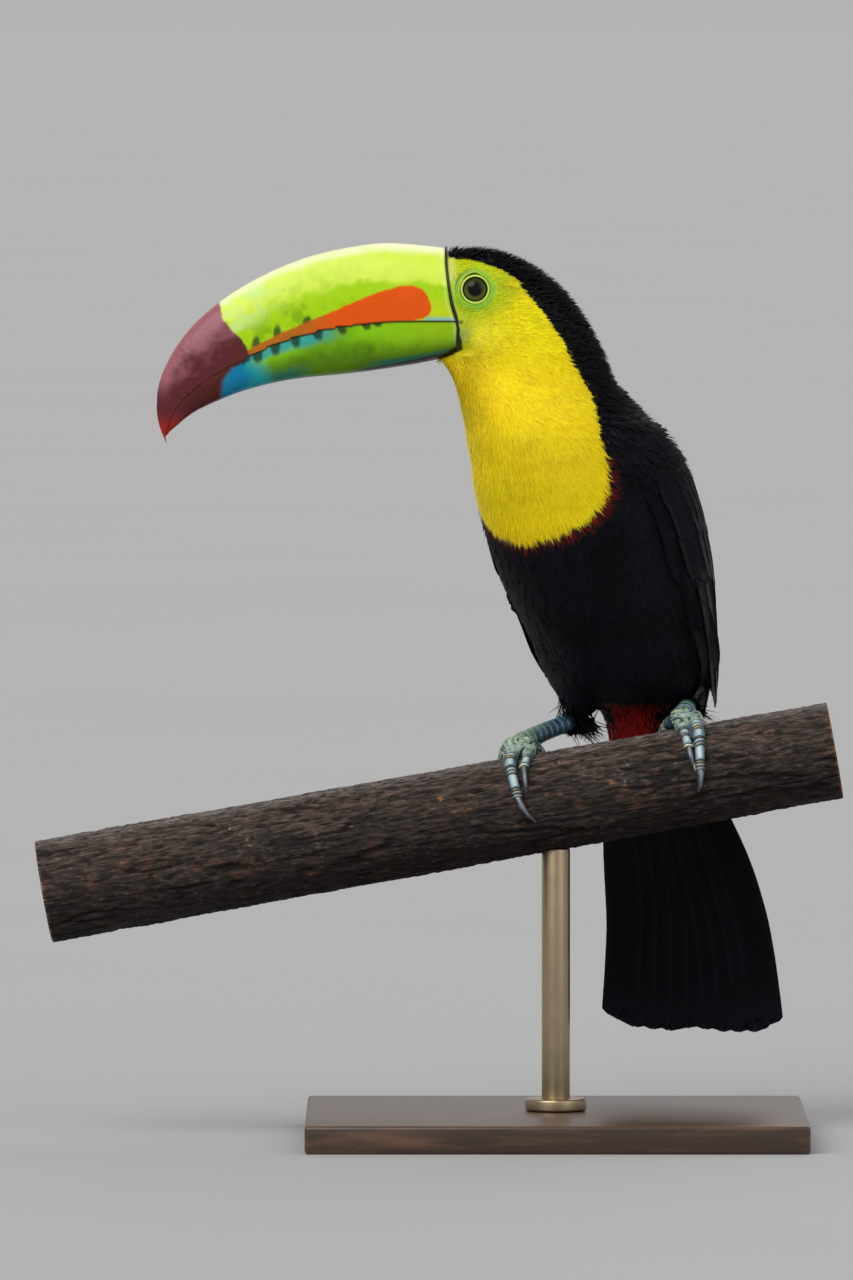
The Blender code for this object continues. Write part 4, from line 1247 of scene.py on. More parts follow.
def join_feet(skin, feet):
    """Gives skin and feet their own finish and joins them into one piece."""
    skin.data.materials.append(
        painted_material("bare skin", 0.36, 0.52, 700.0, 0.16, grain=2600.0, bump=0.35, specular=0.35)
    )
    feet.data.materials.append(
        painted_material("leg scales", 0.24, 0.40, 900.0, 0.22, grain=3000.0, bump=0.3)
    )
    join("skin", skin, feet)
    feet_nodes = [f"foot_{side}" for side in FEET]
    feet_nodes += [f"toe_{side}_{n}" for side in FEET for n in TOES[side]]
    return settle(skin, None, "black_plumage", *FLESH, *THIGHS, *feet_nodes)


# --- coats ---

FINE = (0.55, 1.0, 0.7)  # widths of a strand at its stations
LEAF = (0.45, 0.9, 1.0, 0.86, 0.52)  # widths of a contour feather
SHORT = (0.6, 1.0, 0.8)  # widths of a short cap feather


def shade_of(roots, amount=0.14):
    """A lighter or darker factor for each tuft, in soft clumps."""
    points = roots["point"]
    clump = noise(points, 3.5, 61) * 0.6 + noise(points, 1.2, 62) * 0.4
    return (1 + amount * clump + amount * 0.6 * roots["rng"].normal(0, 1, len(points)))[:, None]


def strand_length(points):
    """Length of the yellow strands: long on the bib, short on the face."""
    z = points[:, 2]
    full = sizes().strand_length / MM
    length = full * (0.50 + 0.50 * smooth(345, 308, z))
    near_eye = smooth(19, 9, eye_distance(points)) * (z > 325)
    near_bill = smooth(14, 1, bill_distance(points)) * smooth(326, 336, z)
    return length * (1 - 0.55 * np.maximum(near_eye, near_bill))


def bare(points):
    """1 where bare skin shows round the eye."""
    reach = bare_reach(points) + 0.5 * noise(points, 2.5, 41)
    return smooth(9.6, 8.4, reach) * (points[:, 2] > 335)


def grow_yellow(ground):
    pieces = []
    for index, (low, high) in enumerate(((0.0, 292.0), (292.0, 326.0), (326.0, 400.0))):
        fine = 0.42 if index == 2 else 0.46

        def chance(points, low=low, high=high):
            z = points[:, 2]
            inside = bib_distance(points) + noise(points, 3.0, 51) * 0.8
            clear = (bill_distance(points) > 1.3) | (z < 334.5)
            here = (z >= low) & (z < high) & (inside > -0.1) & clear
            return here * (1 - bare(points))

        roots = ground.scatter(fine, 100 + index, chance)
        reach = lie_of_coat(roots["point"], roots["normal"]) * strand_length(roots["point"])[:, None]
        over = -bib_distance(roots["point"] + 0.85 * reach)
        past = 0.3 + 0.9 * np.abs(roots["rng"].normal(0, 1, len(over)))
        past = past + 1.3 * (roots["rng"].random(len(over)) < 0.25) * smooth(262, 282, roots["point"][:, 2])
        roots = pick_roots(roots, over < past)
        p = roots["point"]
        length = strand_length(p)
        width = sizes().strand_width / MM * (0.65 + 0.35 * np.clip(length / 8, 0, 1))
        colour = plumage(p) * shade_of(roots, 0.16)
        pale = mix(colour, rgb("straw"), 0.35 * smooth(340, 320, p[:, 2]) + 0.12)
        fan = bump_at(p[:, 2], 342, 8) * smooth(20, 6, bill_distance(p))
        fan = fan * (roots["rng"].random(len(p)) < 0.5)
        pale = mix(pale, rgb("fan"), 0.60 * fan)
        pieces.append(grow(
            f"bib_strands_{index + 1}", ground, roots, length, width, colour, FINE,
            lift=0.22 + 0.05 * length, sunk=0.5, stray=8.5, ridge=0.18,
            tip_colour=pale * shade_of(roots, 0.10), root_colour=colour * 0.72,
        ))
    return pieces


def grow_fringe(ground):
    """Red strands along the bib's lower edge, and yellow ones that break over the black."""

    def chance(points):
        inside = bib_distance(points) + noise(points, 4.0, 71) * 1.2
        strong = smooth(20, 62, off_heading(points, BIB, 1))
        share = (0.35 + 0.50 * strong) * smooth(297, 284, points[:, 2])
        return (inside > -1.5 - 1.6 * strong) * (inside < 0.2) * share

    def lie(points, normals):
        aside = (0.9 * smooth(15, 60, off_heading(points, BIB, 1)))[:, None]
        return unit(lie_of_coat(points, normals) + level(normals) * aside)

    roots = ground.scatter(0.50, 120, chance)
    shares = roots["rng"].random((len(roots["point"]), 1))
    red = rgb("red") * (0.10 + 0.80 * shares**1.6)
    return grow(
        "bib_fringe", ground, roots, 5.2, 0.36, red, FINE,
        lift=1.3, sunk=0.4, stray=16.0, ridge=0.2, tip_colour=red * 0.55, root_colour=red * 0.6, lie=lie,
    )


def black_shade(roots, painted_sheen=0.35):
    # Black in clumps of tone, with patches of painted sheen mixed in by the given share.
    share = painted_sheen * np.clip(noise(roots["point"], 14.0, 81) * 0.6 + 0.4, 0, 1)
    return mix(rgb("black") * shade_of(roots, 0.25), rgb("painted_sheen"), share)


def grow_cap(ground):
    """Short velvety feathers of the cap and the back of the neck."""

    def chance(points):
        outside = -bib_distance(points)
        return (outside > 0.1) & (points[:, 2] > 300) & (bill_distance(points) > 0.9)

    roots = ground.scatter(0.98, 140, chance)
    p = roots["point"]
    length = 3.2 + 2.4 * smooth(350, 300, p[:, 2]) - 1.2 * smooth(10, 1, bill_distance(p))
    colour = black_shade(roots, 0.25)
    return grow(
        "cap_feathers", ground, roots, length, 1.15, colour, SHORT,
        lift=1.9, sunk=0.35, stray=9.0, ridge=0.2, tip_colour=colour * 1.3,
    )


def under_vanes(points):
    """1 where the long feathers of a folded wing lie over everything else."""
    z = points[:, 2]
    turn = np.abs(off_heading(points, AXIS, 3))
    edge = 12 + 3 * noise(points, 9.0, 83)
    inside = (turn > read(WING_EDGES, z, 1) + edge) & (turn < read(WING_EDGES, z, 2) - edge)
    return inside & (z < 264 + 4 * noise(points, 8.0, 84))


def room_above_vent(points):
    """How long a feather may be before it hangs over the vent's red; the back has room."""
    return np.maximum(points[:, 2] - VENT_HEIGHT + 2, 4.0) + 30 * (is_back(points) > 0.5)


def grow_body(ground):
    """Contour feathers of the breast, flanks, shoulders and back."""

    def chance(points):
        outside = -bib_distance(points)
        z = points[:, 2]
        vent = (z < VENT_HEIGHT + 2) & (is_back(points) < 0.5)
        rump = (z < 197) & (is_back(points) > 0.5)
        return (outside > 0.8) & (z < 316) & ~under_vanes(points) & ~vent & ~rump

    roots = spread_out(ground.scatter(1.0, 160, chance), 2.25)
    p = roots["point"]
    scale = 0.55 + 0.45 * smooth(308, 262, p[:, 2])
    scale = scale * (1 - 0.35 * smooth(9, 1, -bib_distance(p)))
    long = np.minimum(sizes().feather_length / MM * scale, room_above_vent(p))
    ends = p + lie_of_coat(p, roots["normal"]) * long[:, None]
    held = np.linalg.norm(ground.nearest(ends)[0] - ends, axis=1) < 3.2
    roots = pick_roots(roots, held)
    colour = black_shade(roots, 0.5)
    feathers = grow(
        "breast_feathers", ground, roots, long[held], sizes().feather_width / MM * scale[held], colour,
        LEAF, lift=1.2 + 1.1 * smooth(278, 298, p[held, 2]), sunk=0.5, stray=6.0, ridge=0.10,
        tip_colour=colour * 1.2,
    )
    roots = ground.scatter(1.6, 161, chance)
    p = roots["point"]
    colour = black_shade(roots, 0.6)
    strands = grow(
        "breast_strands", ground, roots, np.minimum(10.0, room_above_vent(p)), 0.55, colour, FINE,
        lift=1.6 + 1.1 * smooth(278, 298, p[:, 2]), sunk=0.2, stray=12.0, ridge=0.2,
        tip_colour=colour * 1.3,
    )
    return [feathers, strands]


def grow_plumes(ground, name, seed, chance):
    """Soft plumes at the tail's root, in the plumage's own colour."""
    roots = ground.scatter(0.95, seed, chance)
    p = roots["point"]
    colour = plumage(p) * shade_of(roots, 0.2)
    return grow(
        name, ground, roots, np.clip(p[:, 2] - 135, 4, 9.5), 0.9, colour, FINE,
        lift=1.1, sunk=0.4, stray=12.0, ridge=0.2, root_colour=colour * 0.55,
    )


def grow_vent(ground):
    """Soft red plumes under the tail's root."""

    def chance(points):
        z = points[:, 2]
        return (z < VENT_HEIGHT + 8) & (z > 143) & (is_back(points) <= 0.5) & ~near_thigh(points, 14.0)

    return grow_plumes(ground, "vent_plumes", 180, chance)


def grow_rump(ground):
    """Soft white plumes above the tail's root."""

    def chance(points):
        return (points[:, 2] < 203) & (points[:, 2] > 137) & (is_back(points) > 0.5)

    return grow_plumes(ground, "rump_plumes", 181, chance)


def near_thigh(points, reach):
    """1 near either thigh."""
    close = np.full(len(points), 99.0)
    for _, ankle, _, _ in FEET.values():
        hip = np.array(ankle) + np.array([-5.0, -3.0, 12.0])
        close = np.minimum(close, np.linalg.norm(points - (np.array(ankle) + hip) / 2, axis=1))
    return close < reach


def grow_thighs(ground):
    """Short feathers of the thighs."""
    roots = ground.scatter(0.85, 200, lambda points: near_thigh(points, 15.0) & (points[:, 2] < 200))
    colour = black_shade(roots, 0.5)
    return grow(
        "thigh_feathers", ground, roots, 11.0, 0.9, colour, FINE,
        lift=0.9, sunk=0.3, stray=14.0, ridge=0.2, tip_colour=colour * 1.3,
        lie=lambda points, normals: along(np.array([0.06, -0.42, -0.9]), normals),
    )


def grow_ankles(ground):
    """Black strands over the top of each shank, and a few stiff bristles under the ankle."""

    def on_shank(points, reach):
        down, _, _, kind = foot_bands(points)
        return (kind < 0.5) & (down < reach + 1.5 * noise(points, 2.0, 86))

    def down_shank(points, normals):
        left, right = (unit(np.array(sole) - np.array(ankle)) for _, ankle, sole, _ in FEET.values())
        return along(np.where((points[:, 0] < 25)[:, None], right, left), normals)

    roots = ground.scatter(0.55, 202, lambda points: on_shank(points, 7.5))
    colour = black_shade(roots, 0.2)
    sleeve = grow(
        "ankle_feathers", ground, roots, 5.0, 0.8, colour, FINE,
        lift=1.5, sunk=0.1, stray=18.0, ridge=0.2, tip_colour=colour * 1.3, lie=down_shank,
    )
    roots = ground.scatter(1.0, 203, lambda points: 0.30 * on_shank(points, 11.0) * (points[:, 0] > 2))
    roots = pick_roots(roots, roots["normal"][:, 2] < 0.1)
    bristles = grow(
        "ankle_bristles", ground, roots, 8.5, 0.5, black_shade(roots, 0.1), FINE,
        lift=2.6, sunk=0.1, stray=26.0, ridge=0.3, curl=1.6,
        lie=lambda points, normals: along(np.array([0.80, -0.10, -0.50]), normals, 0.3),
    )
    return [sleeve, bristles]


# --- wings and tail ---

WING_EDGES = (
    (143.0, 136, 150), (150.0, 122, 153), (165.0, 108, 160), (180.0, 98, 167), (195.0, 89, 172),
    (212.0, 84, 173), (233.0, 78, 171), (252.0, 75, 168), (269.0, 74, 165), (285.0, 75, 160),
    (297.0, 79, 150), (308.0, 94, 134),
)
# Layers of a folded wing, from the innermost out: number of feathers, places across and heights of
# the first and last root and tip, and width.
WING_LAYERS = {
    "primaries": (9, (0.62, 0.95), (252, 238), (0.50, 0.78), (146, 178), 11.0),
    "secondaries": (9, (0.10, 0.90), (262, 262), (0.14, 0.86), (181, 196), 13.0),
    "tertials": (4, (0.45, 0.92), (274, 272), (0.52, 0.86), (186, 204), 17.0),
    "greater coverts": (10, (0.05, 0.93), (276, 278), (0.05, 0.90), (236, 240), 12.5),
    "middle coverts": (10, (0.05, 0.94), (284, 284), (0.04, 0.92), (256, 259), 11.5),
}
# Shades of the iris and pupil: share of the eyeball's radius, colour.
IRIS = (
    (0.0, (0.002, 0.002, 0.003)), (0.37, (0.003, 0.003, 0.003)), (0.43, (0.045, 0.050, 0.010)),
    (0.52, (0.100, 0.120, 0.018)), (0.62, (0.070, 0.085, 0.014)), (0.67, (0.010, 0.012, 0.004)),
)
WING_DEPTH = 1.7  # how far the surface under the wing's feathers lies inside its solid


def cloak_form(skin):
    """The body and its folded wings under one smooth surface, which the outer feathers lie on."""
    body = new_object("body", skin.data.copy())
    under = BVHTree.FromObject(skin, bpy.context.evaluated_depsgraph_get())
    cloak = join("cloak", body, copy_nodes("wing_form", "wing_left", "wing_right"))
    remesh(cloak, 0.0017, 8)
    points, normals = points_of(cloak.data), normals_of(cloak.data)
    gaps = np.array([under.find_nearest(Vector(p * MM))[3] for p in points]) / MM
    points -= normals * (WING_DEPTH * smooth(0.3, 2.2, gaps))[:, None]
    set_points(cloak.data, points)
    apply_modifier(cloak, "SMOOTH", factor=0.5, iterations=24)
    return cloak


def vane(centre, normal, half, jag, rng, thick=0.16, ridge=0.25, columns=5, fray=0.0):
    """One feather as a closed thin plate along a line of points, its tip frayed by up to `fray`;
    returns points, faces and the place of each point across and along it."""
    rows = len(centre)
    tangent = unit(np.gradient(centre, axis=0))
    side = unit(np.cross(tangent, normal))
    across = np.linspace(-1, 1, columns)
    arch = ridge * (1 - across**2) + 0.10 * (across == 0)
    reach = half * (1 + jag * rng.normal(0, 1, rows))
    top = centre[:, None] + side[:, None] * (across[None, :, None] * reach[:, None, None])
    if fray:
        short = fray * (0.12 * rng.random(columns) + (rng.random(columns) < 0.22) * rng.random(columns))
        pitch = np.linalg.norm(centre[-1] - centre[-2])
        for back in range(4):
            top[-1 - back] -= tangent[-1] * np.clip(short - 0.8 * back * pitch, 0, None)[:, None]
    top = top + normal[:, None] * arch[None, :, None]
    under = top - normal[:, None] * thick
    outer = grid_faces(rows, columns)
    faces = [outer, outer[:, ::-1] + rows * columns]
    left = np.arange(rows - 1) * columns
    first = np.arange(columns - 1)
    right, last = left + columns - 1, first + (rows - 1) * columns
    for a, b in ((left + columns, left), (right, right + columns), (first, first + 1), (last + 1, last)):
        faces.append(np.stack([a, b, b + rows * columns, a + rows * columns], axis=1))
    place = np.stack(np.meshgrid(across, np.linspace(0, 1, rows)), axis=-1).reshape(-1, 2)
    both = np.concatenate([top.reshape(-1, 3), under.reshape(-1, 3)])
    return both, np.concatenate(faces), np.concatenate([place, place])


def close_middle(obj):
    """Fills only the small hole in the middle of a cut end."""
    with edited(obj) as form:
        middle = sum((v.co for v in form.verts), Vector()) / len(form.verts)
        rims = [e for e in form.edges if e.is_boundary]
        small = [e for e in rims if all((v.co - middle).length < 0.004 for v in e.verts)]
        bmesh.ops.holes_fill(form, edges=small, sides=0)


def vane_widths(rows, full, square=0.5):
    """Half widths along a feather: narrow at the quill, full to near its rounded tip."""
    t = np.linspace(0, 1, rows)
    root = 0.35 + 0.65 * smooth(0, 0.25, t)
    tip = np.sqrt(np.clip(1 - smooth(1 - 0.22 * square * 2, 1.0, t) ** 2, 0.012, 1))
    return full / 2 * root * tip


def join_vanes(name, vanes, roots, colours, skin_ground):
    """Many feathers as one mesh, with their colours and their places on the unwrap."""
    spots = skin_ground.unwrap(np.array(roots))
    points, faces, shades, places = [], [], [], []
    start = 0
    for (p, f, place), spot, colour in zip(vanes, spots, colours):
        points.append(p)
        faces.append(f + start)
        start += len(p)
        # Painted sheen along each feather's edges and tip.
        fringe = np.maximum(smooth(0.55, 1.0, np.abs(place[:, 0])), smooth(0.8, 1.0, place[:, 1]))
        shades.append(mix(colour, rgb("painted_sheen"), 0.35 * fringe))
        places.append(spot + np.stack([place[:, 0] * 0.5, place[:, 1] - 0.5], axis=1) * PATCH)
    faces = np.concatenate(faces)
    made = mesh_object(name, np.concatenate(points), faces)
    paint(made.data, np.concatenate(shades))
    unwrap_tufts(made.data, np.concatenate(places), faces)
    return made


def between(ends, share):
    """A place between two ends."""
    return ends[0] + (ends[1] - ends[0]) * share


def wing_surface(ground, side, across, height):
    """A point of the surface under a folded wing and its normal there."""
    height = min(max(height, 143.4), 307.6)
    start, end = read(WING_EDGES, height, 1), read(WING_EDGES, height, 2)
    across = min(max(across, 0.03), 0.97)
    angle = radians(side * (start + (end - start) * across) - read(AXIS, height, 3))
    out = np.array([sin(angle), -cos(angle), 0.0])
    middle = np.array([read(AXIS, height, 1), read(AXIS, height, 2), height])
    hit = ground.tree.ray_cast(Vector(middle + out * 120), Vector(-out))
    if hit[0] is None:
        hit = ground.tree.find_nearest(Vector(middle + out * 50))
    place, normal = np.array(hit[0]), np.array(hit[1])
    body = ground.skin.tree.ray_cast(Vector(middle + out * 120), Vector(-out))
    if body[0] is None:
        return place, normal
    over = (place - np.array(body[0])) @ out - (4.0 + 26.0 * smooth(173, 192, height))
    return (place, normal) if over <= 0 else (place - out * over, np.array(body[1]))


def make_wing(name, side, ground):
    """A folded wing: layers of long feathers laid over the surface under it."""
    rng = np.random.default_rng(300 + side)
    vanes, roots, colours = [], [], []
    for rank, (count, across, root_z, tips, tip_z, width) in enumerate(WING_LAYERS.values()):
        for i in range(count):
            share = i / (count - 1)
            t0, t1 = between(across, share), between(tips, share)
            z0 = between(root_z, share) + rng.normal(0, 0.8)
            z1 = between(tip_z, share) + rng.normal(0, 1.0)
            rows = max(12, int(abs(z0 - z1) / 3.0))
            centre, normal = np.empty((rows, 3)), np.empty((rows, 3))
            for k, s in enumerate(np.linspace(0, 1, rows)):
                p, n = wing_surface(ground, side, t0 + (t1 - t0) * s, z0 + (z1 - z0) * s)
                n = n - np.array([0, 0, 1.0]) * n[2] * 0.5
                normal[k] = n / np.linalg.norm(n)
                centre[k] = p + normal[k] * (0.1 + 0.22 * rank + 0.35 * s**2 + 0.16 * (i % 2) + 0.08 * share)
            steps = np.linspace(-1, 1, rows)
            for k in range(3):
                centre[:, k] = np.polyval(np.polyfit(steps, centre[:, k], 4), steps)
                normal[:, k] = np.polyval(np.polyfit(steps, normal[:, k], 3), steps)
            vanes.append(vane(centre, unit(normal), vane_widths(rows, width), 0.012, rng))
            roots.append(centre[0])
            tone = rgb("black") * rng.uniform(0.8, 1.3)
            # Each feather's black with a share of painted sheen.
            colours.append(tone * 0.75 + rgb("painted_sheen") * 0.25 * rng.uniform(0.4, 1.2))
    return join_vanes(name + "_feathers", vanes, roots, colours, ground.skin)


# The tail's feathers from the middle pair outwards: height of the tip, how far its middle is from
# the tail's there and at the root, and width.
TAIL_PAIRS = (
    (41.4, 4.5, 1.8, 19.0), (40.4, 12.8, 5.2, 19.0), (40.8, 20.8, 8.8, 18.5), (41.8, 28.6, 12.2, 18.0),
    (45.0, 35.5, 15.5, 17.0),
)


TAIL_LINE = (  # height, x, y of the tail's middle
    (40.0, 60.3, 67.8), (66.0, 59.4, 63.4), (84.0, 58.2, 60.0), (105.0, 54.9, 56.2),
    (129.0, 49.4, 52.0), (150.0, 43.2, 47.2), (166.0, 40.4, 43.6),
)
def make_tail(skin_ground):
    """Ten tail feathers in a closed fan, the outer ones in front of the inner ones."""
    rng = np.random.default_rng(320)
    track = Track(TAIL_LINE)
    left = np.array([-TAIL_FRONT[1], TAIL_FRONT[0], 0.0])
    rows = 64
    s = np.linspace(0, 1, rows)
    vanes, roots, colours = [], [], []
    for pair, (tip, spread, root, width) in enumerate(TAIL_PAIRS):
        for side in (-1, 1):
            z = np.linspace(160.0, tip + rng.normal(0, 0.4), rows)
            fan = root + (spread - root) * (np.sqrt(s + 0.01) - 0.1 + 0.095 * s)
            depth = -1.0 + 0.42 * pair + 0.12 * (side > 0) + 0.0006 * fan**2
            aside = left * (side * fan)[:, None]
            centre = np.column_stack([track(z), z]) + aside + TAIL_FRONT * depth[:, None]
            normal = unit(TAIL_FRONT + np.array([0, 0, 0.16]) + aside * -0.003)
            half = vane_widths(rows, width, 0.09) * (0.66 + 0.34 * smooth(0, 0.5, s))
            vanes.append(
                vane(centre, normal, half, 0.003, rng, thick=0.2, ridge=0.10, columns=31, fray=5.0)
            )
            roots.append(centre[0])
            # Each tail feather's black with a little painted sheen.
            colours.append(rgb("black") * rng.uniform(0.85, 1.15) * 0.9 + rgb("painted_sheen") * 0.1)
    return join_vanes("tail_feathers", vanes, roots, colours, skin_ground)


# --- eyes ---


def eye_material():
    """Black pupil and dark olive iris, darkened towards the top as painted shade under the lid, under a
    clear gloss.
    """
    material, tree, shader = new_material("eyeball")
    place = here(tree)
    dx = maths(tree, "SUBTRACT", node(tree, "SeparateXYZ", {"Vector": place}, "X"), EYE[0] * MM)
    dz = maths(tree, "SUBTRACT", node(tree, "SeparateXYZ", {"Vector": place}, "Z"), EYE[1] * MM)
    reach = maths(tree, "MULTIPLY", hypotenuse(tree, dx, dz), 1 / (EYE_RADIUS * MM))
    streaks = maths(tree, "SUBTRACT", speckle(tree, place, 900.0, 3.0), 0.5)
    colour = ramp(tree, maths(tree, "ADD", reach, maths(tree, "MULTIPLY", streaks, 0.06)), IRIS)
    # Painted shade: the iris darkens towards its top, as under the lid.
    spread = {"Value": dz, "From Min": -0.003, "From Max": 0.003, "To Min": 1.25, "To Max": 0.35}
    feed(tree, shader.inputs["Base Color"], dimmed(tree, colour, node(tree, "MapRange", spread)))
    set_constants(shader, rough=0.5, specular=0.0, coat=0.38, coat_rough=0.03)
    return material


def make_eye(name, side, material):
    eye = ball(side, EYE_RADIUS, 72, 48, rotation=(radians(90), 0, 0))
    eye.name = "eyeball_" + name
    bpy.ops.object.transform_apply(location=True, rotation=True, scale=True)
    points = points_of(eye.data)
    clear = smooth(5.4, 2.0, eye_distance(points)) * (side * off_middle(points) > 14)
    points[:, 1] += side * 0.35 * clear
    set_points(eye.data, points)
    eye.data.shade_smooth()
    return settle(eye, material, "eye", "eye_" + name)


# --- bill ---

BITES = (-140.0, -131.0, -121.7, -111.7, -100.6, -92.8, -85.4)  # where the gape steps
ORANGE = (  # x, upper edge and lower edge of the orange patch
    (-134.5, 333.4, 331.0), (-127.0, 337.6, 334.0), (-117.0, 342.8, 338.2), (-100.1, 349.8, 343.2),
    (-83.1, 357.2, 346.4), (-74.5, 360.6, 347.3), (-66.1, 362.8, 348.0), (-60.3, 363.2, 348.5),
    (-56.6, 361.8, 349.1), (-54.2, 358.6, 350.4), (-53.0, 354.6, 353.0), (-52.8, 354.0, 354.0),
)
TIP_EDGE = (  # height and x where the maroon tip begins
    (315.0, -142.6), (323.0, -141.6), (328.6, -137.4), (331.5, -132.5), (334.1, -130.6),
    (337.1, -131.6), (341.3, -134.6), (344.3, -137.8), (348.5, -141.6), (356.2, -143.2),
    (362.0, -144.4),
)
UPPER_MARKS = ((-126.4, 5.6), (-117.6, 5.4), (-105.2, 3.4))  # x and height of the dark teeth
LOWER_MARKS = (
    (-134.6, 2.2), (-131.0, 3.4), (-126.2, 6.2), (-118.8, 6.4), (-110.2, 6.4), (-100.6, 5.8),
    (-90.7, 4.6), (-80.3, 3.6), (-75.5, 2.4),
)


def bite(x):
    """The stepped edge of the gape: how far it is above its own smooth line."""
    x = np.asarray(x, float)
    edges = np.array(BITES)
    i = np.clip(np.searchsorted(edges, x) - 1, 0, len(edges) - 2)
    t = (x - edges[i]) / (edges[i + 1] - edges[i])
    saw = np.where(t > 0.9, (1 - t) / 0.1, t / 0.9) - 0.5
    here = smooth(edges[0], edges[0] + 4, x) * smooth(edges[-1] + 0.4, edges[-1] - 0.8, x)
    return -0.85 * saw * here


def bill_lines():
    """The bill's tables read finely: culmen, gape and keel, and half its width."""
    lines = Track(BILL)(np.linspace(0, 1, 900))
    blend = np.hanning(81) / np.hanning(81).sum()
    for k in range(6):
        line = np.pad(lines[:, k], 40, mode="reflect", reflect_type="odd")
        lines[:, k] = np.convolve(line, blend, mode="valid")
    cx, cz, gx, gz, kx, kz, half = lines.T
    return cx, cz, gx, gz + bite(gx), kx, kz, half


def path_lengths(points):
    """How far along a path each of its points lies."""
    return np.concatenate([[0], np.cumsum(np.linalg.norm(np.diff(points, axis=0), axis=1))])


def bill_grid(upper, rows, columns):
    """Points over one half of the bill, from just inside the face to the tip."""
    cx, cz, gx, gz, kx, kz, half = bill_lines()
    ex, ez = (cx, cz) if upper else (kx, kz)
    power = 2 / (2.5 if upper else 2.2)

    def ring(t):
        return np.sin(t) ** power, np.sign(np.cos(t)) * np.abs(np.cos(t)) ** power

    fine = np.linspace(0, pi, 2000)
    rise, out = ring(fine)
    run = path_lengths(np.column_stack([rise * (ez - gz)[360], out * half[360]]))
    rise, out = ring(np.interp(np.linspace(0, run[-1], columns), run, fine))
    way = unit(np.column_stack([np.gradient(gx), np.gradient(gz)]))
    steep = np.abs(way[:, 1]) * smooth(-146, -154, gx)
    gap = 0.10 if upper else 0.20 + 0.25 * steep
    fx, fz = gx + gap * way[:, 1] * (steep > 0), gz - gap * way[:, 0]
    if not upper:
        closing = np.sqrt(1 - np.clip((np.linspace(0, 1, len(gx)) - 0.965) / 0.035, 0, 0.995) ** 2)
        ex, ez, half = fx + (ex - fx) * closing, fz + (ez - fz) * closing, half * closing
    x = fx[:, None] + (ex - fx)[:, None] * rise
    z = fz[:, None] + (ez - fz)[:, None] * rise
    inset = 1.0 if upper else 1 - (0.05 + 0.09 * steep)[:, None] * (1 - rise)
    y = HEAD_MIDDLE_Y + half[:, None] * out * inset
    grid = np.empty((rows, columns, 3))
    for c in range(columns):
        line = np.column_stack([x[:, c], y[:, c], z[:, c]])
        inside = np.flatnonzero(line[:, 0] > read(BILL_BASE, line[:, 2], 1) + 0.9)
        line = line[inside[-1] if len(inside) else 0 :]
        run = path_lengths(line)
        for k in range(3):
            grid[:, c, k] = np.interp(run[-1] * np.linspace(0, 1, rows), run, line[:, k])
    return grid


def tooth(x, at, away, tall, wide):
    """A dark mark with its foot on the gape, narrower away from it."""
    half = wide * (1 - 0.75 * np.clip(away / tall, 0, 1) ** 1.4)
    return smooth(half + 0.75, half - 0.55, np.abs(x - at)) * smooth(tall, tall * 0.45, away)


def upper_bill_paint(x, z, gape, culmen, patchy, fine):
    """Green sides under a pale ridge, dark tooth marks, and the orange patch over the gape."""
    v = (z - gape) / np.maximum(culmen - gape, 1.0)
    top, low = read(ORANGE, x, 1), read(ORANGE, x, 2)
    up = z - top
    spread = 0.05 + 0.08 * smooth(-75, -115, x)
    pale = smooth(0.52 - spread, 0.52 + spread, v + (0.02 + spread) * patchy + 0.03 * fine)
    mottle = smooth(-0.1, 0.6, patchy + 0.5 * fine) * smooth(-66, -104, x) * smooth(1.0, 0.6, v)
    mint = smooth(-112, -132, x) * smooth(0.25, 0.55, v) * smooth(-0.3, 0.6, patchy + 0.4 * fine)
    shadow = bump_at(up, 2.5, 3.5) * smooth(-100, -112, x) * smooth(-0.5, 0.5, patchy + 0.6 * fine)
    dark = bump_at(x, -112, 16) * bump_at(v, 0.34, 0.16) * smooth(-0.1, 0.7, patchy + 0.5 * fine)
    teeth = [tooth(x + 0.12 * up + 0.5 * fine, at, up, tall, 1.7) for at, tall in UPPER_MARKS]
    patch = smooth(-0.4, 0.4, np.minimum(top - z, z - low) + (0.25 * patchy + 0.15 * fine))
    warm = layered(rgb("orange"), ("orange_front", 1, 0.8 * smooth(-90, -112, x)),
        ("orange_front", 0.7, 0.5 * smooth(-0.2, 0.7, patchy) * smooth(-90, -110, x)))
    return layered(rgb("lime"), ("lime", 0.62, 0.6 * smooth(0.1, 0.8, patchy + 0.3 * fine) * (v < 0.6)),
        ("pale_lime", 1, pale), ("lime", 1, 0.45 * mottle), ("mint", 1, 0.75 * mint),
        # Pale ridge on top, partly a painted highlight.
        ("culmen", 1, smooth(0.84, 0.97, v + 0.02 * patchy)), ("green", 0.7, 0.55 * shadow),
        ("green", 0.6, 0.45 * dark), ("bill_olive", 1, 0.55 * (smooth(-62, -48, x) * smooth(0.45, 0.1, v))),
        *(("bill_dark", 1, 0.85 * shape * (up > -1.5)) for shape in teeth),
        (warm, 1, patch * (x > -139) * (x < -52.95)),
        ("cyan", 1, 0.85 * (smooth(-56.5, -54.0, x) * smooth(2.2, 1.2, z - gape))))


